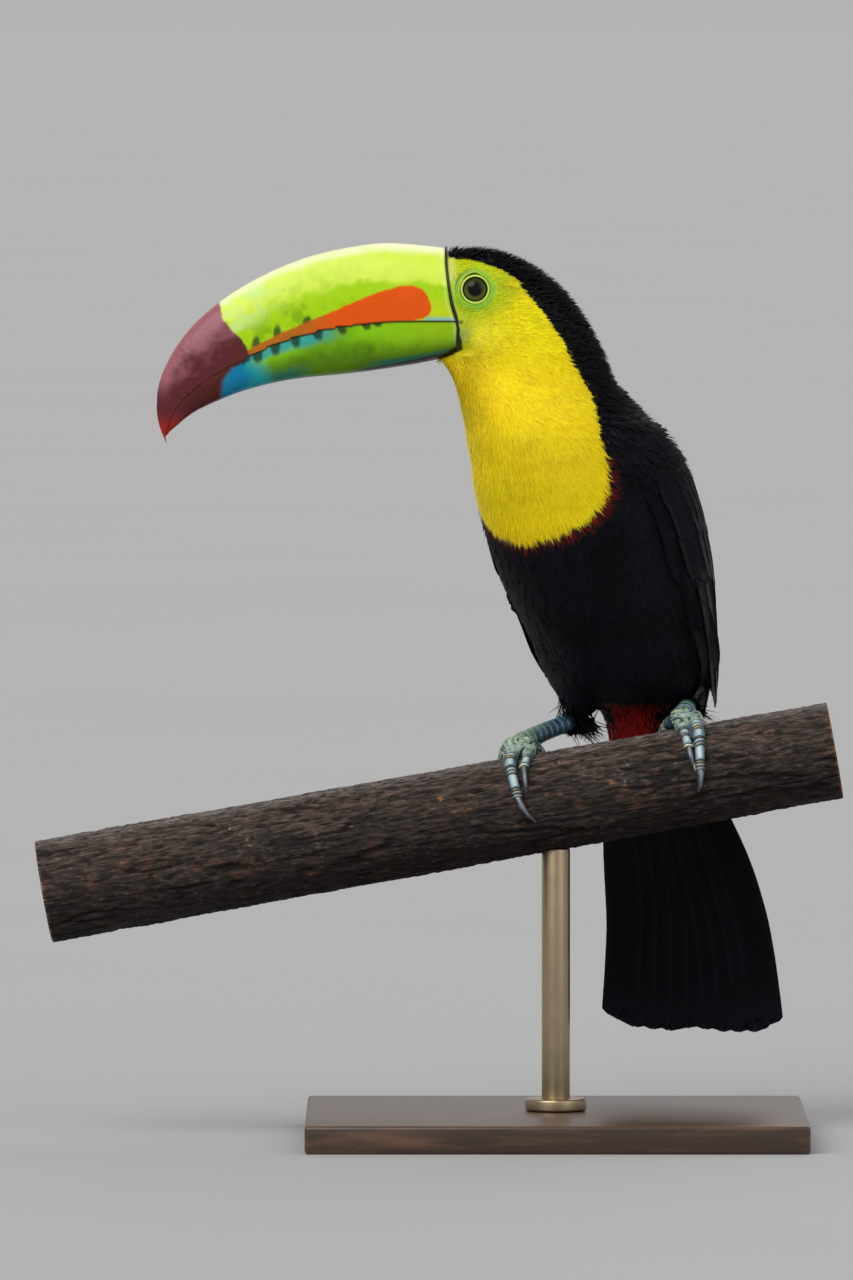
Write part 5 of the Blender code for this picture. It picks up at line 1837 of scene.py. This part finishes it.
def lower_bill_paint(x, z, gape, keel, patchy, fine):
    """Deeper green sides, a blue front, dark tooth marks and a dark edge along the keel."""
    down = gape - z
    w = down / np.maximum(gape - keel, 1.0)
    blue = smooth(-120, -128, x + 9 * (0.45 - w) + 2.5 * patchy)
    strip = smooth(-88, -102, x) * smooth(0.36, 0.16, w + 0.06 * patchy)
    sky = mix(rgb("blue"), rgb("bill_cyan"), smooth(-134, -122, x + 4 * patchy))
    low_teal = smooth(-100, -112, x) * smooth(0.6, 0.9, w)
    rear_teal = smooth(-84, -70, x) * smooth(0.74, 0.88, w)
    above = z - keel + 1.0 * smooth(-50, -84, x)
    corner = 1.4 * smooth(6.0, 1.0, read(BILL_BASE, z, 1) - x)
    teeth = [tooth(x - 0.18 * down + 0.5 * fine, at, down, tall, 2.1) for at, tall in LOWER_MARKS]
    return layered(rgb("green"), ("green", 0.40, smooth(0.2, 0.75, w + 0.15 * patchy)),
        ("lime", 0.78, 0.85 * smooth(-84, -50, x) * smooth(0.95, 0.25, w)),
        ("green", 0.5, 0.6 * smooth(-80, -92, x) * smooth(-112, -104, x)),
        ("green", 0.35, 0.5 * smooth(0.0, 0.8, patchy + 0.4 * fine) * smooth(0.3, 0.7, w)),
        (sky, 1, np.maximum(blue, 0.85 * strip)),
        ("bill_teal", 1, 0.8 * np.maximum(low_teal * (1 - blue), rear_teal)),
        *(("bill_dark", 1, 0.88 * shape) for shape in teeth),
        ("bill_teal", 1, 0.8 * bump_at(above, 3.3, 0.5) * smooth(-86, -66, x)),
        ("black", 0.4, smooth(2.8, 2.1, above - corner) * smooth(-90, -76, x)))


def bill_paint(points, upper):
    """The bill's markings, from each point's place in profile."""
    x, z = points[:, 0], points[:, 2]
    cx, cz, gx, gz, kx, kz, _ = bill_lines()
    gape = np.interp(x, gx[::-1], gz[::-1])
    patchy, fine = noise(points, 5.0, 91), noise(points, 1.6, 92)
    culmen = np.interp(x, cx[:820][::-1], cz[:820][::-1])
    if upper:
        colour = upper_bill_paint(x, z, gape, culmen, patchy, fine)
    else:
        colour = lower_bill_paint(x, z, gape, np.interp(x, kx[::-1], kz[::-1]), patchy, fine)
    edge = x - read(TIP_EDGE, z, 1) - 1.0 + 0.4 * patchy + 0.35 * fine
    soft = 0.6 if upper else 1.7
    tip = smooth(soft, -soft, edge)
    # Painted sheen on the upper side of the tip.
    sheen = smooth(0.25, 0.95, (z - gape) / 22 + 0.30 * patchy + 0.1 * fine) * smooth(313, 326, z)
    seam = smooth(0.7, 0.2, np.abs(z - gape - 0.7)) * smooth(-146, -150, x)
    maroon = layered(rgb("maroon"), ("painted_tip_sheen", 1, 0.70 * sheen),
        ("tip_brown", 1, 0.75 * (bump_at(edge, -2.6, 2.6) * smooth(345, 332, z))),
        ("tip_dark", 1, 0.7 * smooth(1.0, -4.0, z - gape) * smooth(306, 314, z)),
        ("tip_red", 1, np.clip(smooth(311, 300, z), 0, 1)),
        # Painted highlight along the ridge near the tip.
        ("tip_ridge_highlight", 1, 0.35 * (smooth(1.5, 0.5, culmen - z) * smooth(305, 312, z))),
        ("seam_red", 1, 0.4 * seam * smooth(-0.3, 0.4, fine)))
    # Painted highlight: a thin pale line just in front of the band at the bill's base.
    pale_edge = bump_at(read(BILL_BASE, z, 1) - x, 1.75, 0.26) * smooth(338, 341, z)
    line = smooth(0.50, 0.18, np.abs(z - gape)) * (1 - 0.6 * tip)
    return layered(colour, ("culmen", 1, 0.40 * pale_edge), (maroon, 1, tip), ("gape_dark", 1, 0.85 * line))


def bill_relief(points, normals):
    """Fine furrows on the tip and slight unevenness along the sides."""
    tip = smooth(1.0, -4.0, points[:, 0] - read(TIP_EDGE, points[:, 2], 1))
    stretch = points * np.array([1.0, 1.0, 1.7])
    worm = 1 - np.abs(noise(stretch, 2.9, 95)) * 3.2
    furrow = smooth(0.35, 0.9, worm) * smooth(-0.5, 0.2, noise(points, 4.0, 96))
    uneven = 0.10 * noise(points, 9.0, 97) + 0.03 * noise(points, 2.5, 98)
    return points + normals * (uneven - 0.12 * furrow * tip)[:, None]


def make_bill(upper, material):
    half = "bill_upper" if upper else "bill_lower"
    rows, columns = (300, 128) if upper else (280, 104)
    grid = bill_grid(upper, rows, columns)
    made = close_ends(mesh_object(half + "_horn", grid.reshape(-1, 3), grid_faces(rows, columns, True)))
    mesh = made.data
    set_points(mesh, bill_relief(points_of(mesh), normals_of(mesh)))
    paint(mesh, bill_paint(points_of(mesh), upper))
    pick(made)
    bpy.ops.object.shade_smooth_by_angle(angle=radians(42))
    return settle(made, material, "bill_horn", half)


def make_bill_rim():
    """The black band where the bill meets the face: a closed loop of oval section."""
    upper = bill_grid(True, 300, 90)
    lower = bill_grid(False, 280, 72)
    path = np.concatenate([upper[4, 1:-1], lower[4, 1:-1][::-1]])
    path[:, 0] = read(BILL_BASE, path[:, 2], 1) + 0.25
    for _ in range(5):
        path = (np.roll(path, 1, axis=0) + 2 * path + np.roll(path, -1, axis=0)) / 4
    tangent = unit(np.roll(path, -1, axis=0) - np.roll(path, 1, axis=0))
    forward = along(np.array([-1.0, 0.0, 0.0]), tangent)
    out = unit(np.cross(tangent, forward))
    middle = np.array([-44.0, HEAD_MIDDLE_Y, 354.0])
    out = out * np.sign(np.sum(out * (path - middle), axis=1))[:, None]
    wide = 0.62 + 0.30 * smooth(366, 350, path[:, 2]) + 0.30 * smooth(350, 341, path[:, 2])
    turns = np.linspace(0, 2 * pi, 12, endpoint=False)[None, :, None]
    ring = path[:, None] + (forward * wide[:, None])[:, None] * np.cos(turns)
    ring = ring + (out * 0.75)[:, None] * np.sin(turns)
    faces = grid_faces(len(path) + 1, 12, wrap=True) % (len(path) * 12)
    made = turn_outwards(mesh_object("bill_rim", ring.reshape(-1, 3), faces))
    paint(made.data, rgb("black") * 1.2)
    return settle(made, painted_material("rim horn", 0.3, 0.45, 600.0, 0.2), "bill_horn")


def claw_off(x, at, tip, claw_tip, share):
    """How far x is from a claw's middle line, at a share of the way to the claw's tip."""
    return x - at - tip - (claw_tip - tip) * np.clip(share, 0, 1) ** 1.5


# --- claws ---


def make_claws():
    """Curved claws, from each toe's end round the perch to the claw's tip."""
    claws = []
    for at, long, (way, _, _, tip, end, claw_end, claw_tip) in toe_rows():
        share = np.linspace(-0.14, 1, 56)
        angle = way * np.radians(end + (claw_end - end) * share)
        x = at + tip + (claw_tip - tip) * np.clip(share, 0, 1) ** 1.5
        wide = toe_half(0.0, long) * 0.86
        taper = np.clip(1 - share, 0, 1) ** 0.62 * (1 - 0.12 * smooth(0, -0.14, share)) + 0.05
        lift = wide * (0.86 + 0.55 * np.sin(pi * np.clip(share, 0, 1)) - 0.45 * share**2)
        path = perch_place(x, angle, bark_radius(x) + lift)
        normal = off_axis(path, x, angle)
        claws.append(limb("claw_form", path, normal, wide * 1.02 * taper, wide * 1.08 * taper, 28))
    claws = join("claws", *claws)
    points = points_of(claws.data)
    streaks = noise(points * np.array([1.0, 0.4, 0.4]), 0.8, 111) * 0.5 + 0.5
    x, angle, _ = round_perch(points)
    colour = mix(rgb("claw"), rgb("claw_streak_and_highlight"), 0.35 * smooth(0.35, 0.9, streaks))
    for at, _, (way, _, _, tip, end, claw_end, claw_tip) in toe_rows():
        share = (way * np.degrees(angle) - end) / (claw_end - end)
        mine = (np.abs(points[:, 0] - at - tip) < 12) & (share > -0.2) & (share < 1.1)
        off = claw_off(x, at, tip, claw_tip, share)
        # Painted highlight: a pale streak along each claw's middle, fading towards the tip.
        shine = bump_at(off, 0.2, 0.5) * smooth(0.9, 0.2, share) * mine
        colour = mix(colour, rgb("claw_streak_and_highlight") * 1.6, 0.7 * shine)
    paint(claws.data, colour)
    material = painted_material("claw horn", 0.18, 0.32, 900.0, 0.15, grain=2500.0, bump=0.15, coat=0.3)
    names = [f"claw_{side}_{n}" for side in FEET for n in TOES[side]]
    return settle(claws, material, "claw_horn", *names)


CUT_SHARES = (1.0, 0.985, 0.95, 0.9, 0.8, 0.68, 0.56, 0.44, 0.32, 0.2, 0.1, 0.03)


# --- perch ---


def bark_height(x, arc, radius):
    """Relief of the bark from its place along and round the perch."""
    turn = arc / radius
    ring = np.column_stack([x / 9.0, np.cos(turn) * radius, np.sin(turn) * radius])
    wander = ring + 1.6 * np.column_stack(
        [np.zeros_like(x), noise(ring, 12.0, 121), noise(ring, 12.0, 122)]
    )
    long_ridge = 1 - 2 * np.abs(noise(wander, 3.4, 123))
    fine_ridge = 1 - 2 * np.abs(noise(wander * np.array([2.6, 1, 1]), 1.5, 124))
    plates = noise(ring * np.array([3.0, 1, 1]), 7.0, 125)
    lumps = noise(ring * np.array([0.8, 1, 1]), 22.0, 126)
    chips = noise(ring * np.array([7.0, 1, 1]), 1.3, 127)
    crack = smooth(0.62, 0.95, long_ridge) * smooth(-0.5, 0.4, plates)
    height = 0.60 * lumps + 0.40 * plates + 0.34 * fine_ridge - 1.10 * crack + 0.26 * chips
    return height, crack, plates, fine_ridge, chips


def make_perch():
    """A cut length of branch with furrowed bark and two sawn ends."""
    rows, columns = 430, 170
    x = np.linspace(PERCH_ENDS[0], PERCH_ENDS[1], rows)[:, None]
    x, turn = np.broadcast_arrays(x, np.linspace(0, 2 * pi, columns, endpoint=False)[None, :])
    x, turn = x.ravel(), turn.ravel()
    radius = bark_radius(x)
    height, crack, plates, ridge, chips = bark_height(x, turn * radius, radius)
    points = perch_place(x, turn, radius + sizes().bark_relief / MM * (height - 0.15))
    place = perch_place(x, turn, radius)
    # Painted light: paler bark on the top of the branch.
    lit = smooth(0.2, 1.0, np.cos(turn - 0.15))
    sliver = smooth(0.50, 0.75, noise(place * np.array([0.35, 1.0, 1.0]), 1.4, 132))
    tone = layered(rgb("bark"), ("bark_red", 1, smooth(0.15, 0.8, noise(place, 6.0, 131))),
        ("bark_pale", 1, 0.45 * smooth(0.2, 0.9, chips + 0.5 * plates)),
        # Paler ridges on top, painted light.
        ("bark_pale", 1, 0.55 * lit * smooth(-0.4, 0.6, ridge + 0.5 * plates)),
        ("bark", 0.10, 0.88 * np.clip(crack + smooth(0.3, -0.5, ridge) * 0.5, 0, 1)),
        ("bark_fleck", 1, 0.75 * sliver * smooth(0.0, 0.4, noise(place, 9.0, 135))))
    # Painted shade: the bark darkens towards the branch's underside.
    tone = tone * (0.42 + 0.58 * smooth(-0.75, 0.55, np.cos(turn - 0.15)))[:, None]
    fleck = smooth(0.62, 0.85, noise(place, 1.7, 133)) * smooth(0.0, 0.5, noise(place, 14.0, 134))
    # Painted rim light: a pale line along the very top of the branch.
    rim = smooth(0.90, 0.985, np.cos(turn - 0.1)) * smooth(-0.6, 0.2, ridge + 0.4 * plates)
    branch = mesh_object("branch_bark", points, grid_faces(rows, columns, wrap=True))
    paint(branch.data, layered(tone, ("lichen", 1, 0.8 * fleck), ("bark_rim_light", 1, 0.75 * rim)))
    faces = grid_faces(len(CUT_SHARES), columns, wrap=True)
    reach = np.repeat(np.array(CUT_SHARES), columns)
    ends = []
    for at, way in zip(PERCH_ENDS, (-1, 1)):
        edge = points[np.isclose(x, at)]
        middle = perch_place(at, 0.0, 0.0)
        rings = [middle + (edge - middle) * s + ALONG * way * (0.35 * (s < 0.99)) for s in CUT_SHARES]
        ends.append(mesh_object("branch_end", np.concatenate(rings), faces))
        paint(ends[-1].data, mix(rgb("wood"), rgb("wood_dark"), smooth(0.93, 0.97, reach)))
        close_middle(ends[-1])
    branch = turn_outwards(join("branch", branch, *ends))
    return settle(branch, bark_material(), "bark", "perch_branch")


SAWN_RED = 0.20  # painted red above this is sawn wood, and below it is bark
FLAKES = ((0.36, (0.14, 0.13, 0.12)), (0.50, (0.68, 0.68, 0.68)), (0.62, (1.55, 1.45, 1.35)))


def bark_material():
    """Bark round the branch, and growth rings on its cut ends."""
    material, tree, shader = new_material("bark")
    place = here(tree)
    sunk = (0.0, 0.0, -PERCH_HEIGHT * MM * cos(PERCH_SLOPE))
    turned = node(tree, "Mapping", {"Vector": place, "Location": sunk, "Rotation": (0.0, PERCH_SLOPE, 0.0)})
    y, z = (node(tree, "SeparateXYZ", {"Vector": turned}, axis) for axis in "YZ")
    wander = maths(tree, "MULTIPLY", speckle(tree, place, 60.0, 3.0), 0.006)
    reach = maths(tree, "ADD", hypotenuse(tree, y, z), wander)
    rings = maths(tree, "SINE", maths(tree, "MULTIPLY", reach, 3600.0))
    base = painted(tree)
    sawn = maths(tree, "GREATER_THAN", node(tree, "SeparateColor", {"Color": base}, "Red"), SAWN_RED)
    dark = maths(tree, "MULTIPLY", maths(tree, "MULTIPLY", rings, 0.16), sawn)
    ringed = dimmed(tree, base, maths(tree, "ADD", dark, 0.92))
    varied = use_group(tree, "mottle", Color=ringed, Scale=420.0, Amount=0.55)
    slivers = speckle(tree, stretched(tree, turned, (0.16, 1.0, 1.0)), 950.0, 5.0, 0.65)
    around_only = maths(tree, "SUBTRACT", 1.0, sawn)
    flaked = times_colour(tree, around_only, varied["Color"], ramp(tree, slivers, FLAKES))
    grain = use_group(tree, "fine_grain", Scale=700.0, Stretch=(0.3, 1.0, 1.0))["Height"]
    height = maths(tree, "ADD", grain, slivers)
    dress(tree, shader, flaked, (varied["Value"], 0.55, 0.9), (height, 0.8, 0.0006), specular=0.22)
    return material


# --- stand ---


def wood_material():
    material, tree, shader = new_material("walnut")
    place = stretched(tree, here(tree), (1.0, 9.0, 9.0))
    waves = {"Vector": place, "Scale": 9.0, "Distortion": 7.0, "Detail": 4.0, "Detail Scale": 1.4}
    bands = node(tree, "TexWave", waves, "Fac", bands_direction="Y")
    pores = speckle(tree, place, 260.0, 5.0)
    grain = maths(tree, "ADD", maths(tree, "MULTIPLY", bands, 0.65), maths(tree, "MULTIPLY", pores, 0.45))
    colour = ramp(tree, grain, ((0.25, rgb("walnut_dark")), (0.85, rgb("walnut"))))
    dress(tree, shader, colour, (pores, 0.30, 0.46), (grain, 0.12, 0.0004), coat=0.2, coat_rough=0.2)
    return material


def metal_material():
    material, tree, shader = new_material("brushed bronze")
    varied = use_group(tree, "mottle", Color=(*rgb("bronze"), 1.0), Scale=120.0, Amount=0.12)
    height = use_group(tree, "fine_grain", Scale=900.0, Stretch=(1.0, 1.0, 12.0))["Height"]
    rough = (varied["Value"], 0.26, 0.42)
    dress(tree, shader, varied["Color"], rough, (height, 0.12, 0.0002), metal=1.0)
    return material


def bevel_rims(obj, width, segments, chosen):
    """Eases the edges whose middle satisfies `chosen`."""
    pick(obj)
    bpy.ops.object.mode_set(mode="EDIT")
    bpy.ops.mesh.select_mode(type="EDGE")
    bpy.ops.mesh.select_all(action="DESELECT")
    form = bmesh.from_edit_mesh(obj.data)
    for edge in form.edges:
        a, b = (v.co / MM for v in edge.verts)
        edge.select = len(edge.link_faces) == 2 and bool(chosen(a, b))
    bmesh.update_edit_mesh(obj.data)
    bpy.ops.mesh.bevel(offset=width * MM, segments=segments, affect="EDGES", profile=0.5)
    bpy.ops.object.mode_set(mode="OBJECT")
    bpy.ops.object.shade_smooth_by_angle(angle=radians(35))


def make_base():
    low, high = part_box("stand_base")
    bpy.ops.mesh.primitive_cube_add(size=1.0, location=(low + high) / 2)
    base = bpy.context.object
    base.name = "display_base"
    base.scale = high - low
    bpy.ops.object.transform_apply(location=True, rotation=True, scale=True)
    bevel_rims(base, 1.6, 4, lambda a, b: True)
    return settle(base, wood_material(), "stand_wood", "stand_base")


def make_round(name, node_name, width, material):
    """A turned metal piece the size of its solid, with eased rims."""
    low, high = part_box(node_name)
    bpy.ops.mesh.primitive_cylinder_add(
        vertices=72, radius=(high.x - low.x) / 2, depth=high.z - low.z, location=(low + high) / 2
    )
    made = bpy.context.object
    made.name = name
    bpy.ops.object.transform_apply(location=True, rotation=True, scale=True)

    def on_rim(a, b):
        return abs(a.z - b.z) < 0.01 and min(abs(a.z - end / MM) for end in (low.z, high.z)) < 0.01

    bevel_rims(made, width, 4, on_rim)
    return settle(made, material, "stand_metal", node_name)


# --- stage ---

FRAME_HEIGHT = 0.5427  # height of the camera's view at the perch, in metres
AIM = (-0.0549, 0.0, 0.212)
CAMERA_RISE = radians(2.5)


def make_floor():
    material, tree, shader = new_material("stage floor")
    given = (*bpy.context.scene.toucan_stage.floor, 1.0)
    varied = use_group(tree, "mottle", Color=given, Scale=1.5, Amount=0.02)
    feed(tree, shader.inputs["Base Color"], varied["Color"])
    set_constants(shader, rough=1.0, specular=0.0)
    bpy.ops.mesh.primitive_plane_add(size=1600.0, location=(0, 0, 0))
    floor = bpy.context.object
    floor.name = "stage_floor"
    floor.data.materials.append(material)


def add_sun(name, place, strength, spread):
    """A soft light from far away, from the direction of `place`."""
    light = new_object(name, bpy.data.lights.new(name, "SUN"))
    light.data.energy = strength
    light.data.angle = radians(spread)
    light.location = place
    light.rotation_euler = (-Vector(place)).to_track_quat("-Z", "Y").to_euler()


def make_lights():
    power = bpy.context.scene.toucan_stage.key_light
    add_sun("key", (-1.7, -2.6, 2.5), power, 46)
    add_sun("fill", (2.4, -2.4, 1.6), power * 0.22, 50)
    add_sun("back", (0.8, 2.4, 2.2), power * 0.24, 40)
    world = bpy.data.worlds.new("pale surroundings")
    world.use_nodes = True
    sky = world.node_tree.nodes["Background"]
    sky.inputs["Color"].default_value = (1.0, 1.0, 1.0, 1.0)
    sky.inputs["Strength"].default_value = 0.455
    bpy.context.scene.world = world


def make_camera():
    distance = bpy.context.scene.toucan_stage.distance
    camera = new_object("camera", bpy.data.cameras.new("camera"))
    camera.data.sensor_width = 36.0
    camera.data.lens = camera.data.sensor_width * distance / FRAME_HEIGHT
    camera.data.clip_end = 1000.0
    away = Vector((0.0, -cos(CAMERA_RISE), sin(CAMERA_RISE)))
    camera.location = Vector(AIM) + away * distance
    camera.rotation_euler = (-away).to_track_quat("-Z", "Y").to_euler()
    bpy.context.scene.camera = camera


# --- operators ---


class BuildStage(bpy.types.Operator):
    """Makes the camera, the pale floor and the soft lights"""

    bl_idname = "toucan.stage"
    bl_label = "Stage"

    def execute(self, context):
        make_shared_groups()
        make_camera()
        make_floor()
        make_lights()
        return {"FINISHED"}


class BuildSkin(bpy.types.Operator):
    """Makes the skin with its lids and scutes, and the coat, wings and tail that grow on it"""

    bl_idname = "toucan.skin"
    bl_label = "Skin and coat"

    def execute(self, context):
        skin = make_skin()
        ground = Ground(skin)
        cloak = cloak_form(skin)
        outer = Ground(cloak, ground)
        feet = shape_feet(foot_form())
        yellow = painted_material("yellow barbs", 0.5, 0.7, 900.0, 0.08, specular=0.03)
        black = painted_material("black barbs", 0.40, 0.60, 700.0, 0.25, specular=0.055)
        red = painted_material("red barbs", 0.5, 0.7, 900.0, 0.2, specular=0.2)
        vanes = painted_material(
            "black vanes", 0.38, 0.55, 500.0, 0.25, grain=1800.0, bump=0.2, specular=0.05
        )
        for piece in grow_yellow(ground):
            settle(piece, yellow, "yellow_plumage")
        settle(grow_fringe(ground), red, "red_plumage")
        for piece in (grow_cap(ground), *grow_body(outer), grow_thighs(ground), *grow_ankles(Ground(feet))):
            settle(piece, black, "black_plumage")
        settle(grow_vent(ground), red, "red_plumage")
        settle(grow_rump(ground), red, "black_plumage")
        for name, side in (("wing_left", 1), ("wing_right", -1)):
            settle(make_wing(name, side, outer), vanes, "black_plumage", name)
        settle(make_tail(ground), vanes, "black_plumage", "tail")
        bpy.data.objects.remove(cloak)
        join_feet(skin, feet)
        return {"FINISHED"}


class BuildHeadParts(bpy.types.Operator):
    """Makes the eyes, the two halves of the bill and the band at its base"""

    bl_idname = "toucan.head"
    bl_label = "Eyes and bill"

    def execute(self, context):
        gloss = eye_material()
        make_eye("left", -1, gloss)
        make_eye("right", 1, gloss)
        horn = painted_material(
            "bill horn", 0.22, 0.36, 260.0, 0.10, grain=1500.0, bump=0.10, coat=0.04, specular=0.2
        )
        make_bill(True, horn)
        make_bill(False, horn)
        make_bill_rim()
        return {"FINISHED"}


class BuildClaws(bpy.types.Operator):
    """Makes the claws"""

    bl_idname = "toucan.claws"
    bl_label = "Claws"

    def execute(self, context):
        make_claws()
        return {"FINISHED"}


class BuildPerch(bpy.types.Operator):
    """Makes the branch with its bark and cut ends"""

    bl_idname = "toucan.perch"
    bl_label = "Perch"

    def execute(self, context):
        make_perch()
        return {"FINISHED"}


class BuildStand(bpy.types.Operator):
    """Makes the wooden base and the metal rod and collar"""

    bl_idname = "toucan.stand"
    bl_label = "Stand"

    def execute(self, context):
        make_base()
        bronze = metal_material()
        make_round("display_rod", "stand_rod", 0.5, bronze)
        make_round("display_collar", "stand_collar", 0.9, bronze)
        return {"FINISHED"}


OPERATORS = (BuildStage, BuildSkin, BuildHeadParts, BuildClaws, BuildPerch, BuildStand)


class ToucanPanel(bpy.types.Panel):
    """Lists the build steps and the settings"""

    bl_idname = "VIEW3D_PT_toucan"
    bl_label = "Toucan"
    bl_space_type = "VIEW_3D"
    bl_region_type = "UI"
    bl_category = "Toucan"

    def draw(self, context):
        for operator in OPERATORS:
            self.layout.operator(operator.bl_idname)
        for group in ("toucan_colours", "toucan_sizes", "toucan_stage"):
            settings = getattr(context.scene, group)
            for name in settings.__annotations__:
                self.layout.prop(settings, name)


CLASSES = (ToucanColours, ToucanSizes, StageSettings, *OPERATORS, ToucanPanel)


def register():
    for cls in CLASSES:
        bpy.utils.register_class(cls)
    bpy.types.Scene.toucan_colours = bpy.props.PointerProperty(type=ToucanColours)
    bpy.types.Scene.toucan_sizes = bpy.props.PointerProperty(type=ToucanSizes)
    bpy.types.Scene.toucan_stage = bpy.props.PointerProperty(type=StageSettings)


def unregister():
    del bpy.types.Scene.toucan_stage
    del bpy.types.Scene.toucan_sizes
    del bpy.types.Scene.toucan_colours
    for cls in reversed(CLASSES):
        bpy.utils.unregister_class(cls)


def main():
    register()
    bpy.context.scene.view_settings.view_transform = "Standard"
    for operator in OPERATORS:
        getattr(bpy.ops.toucan, operator.bl_idname.split(".")[1])()


if __name__ == "__main__":
    main()
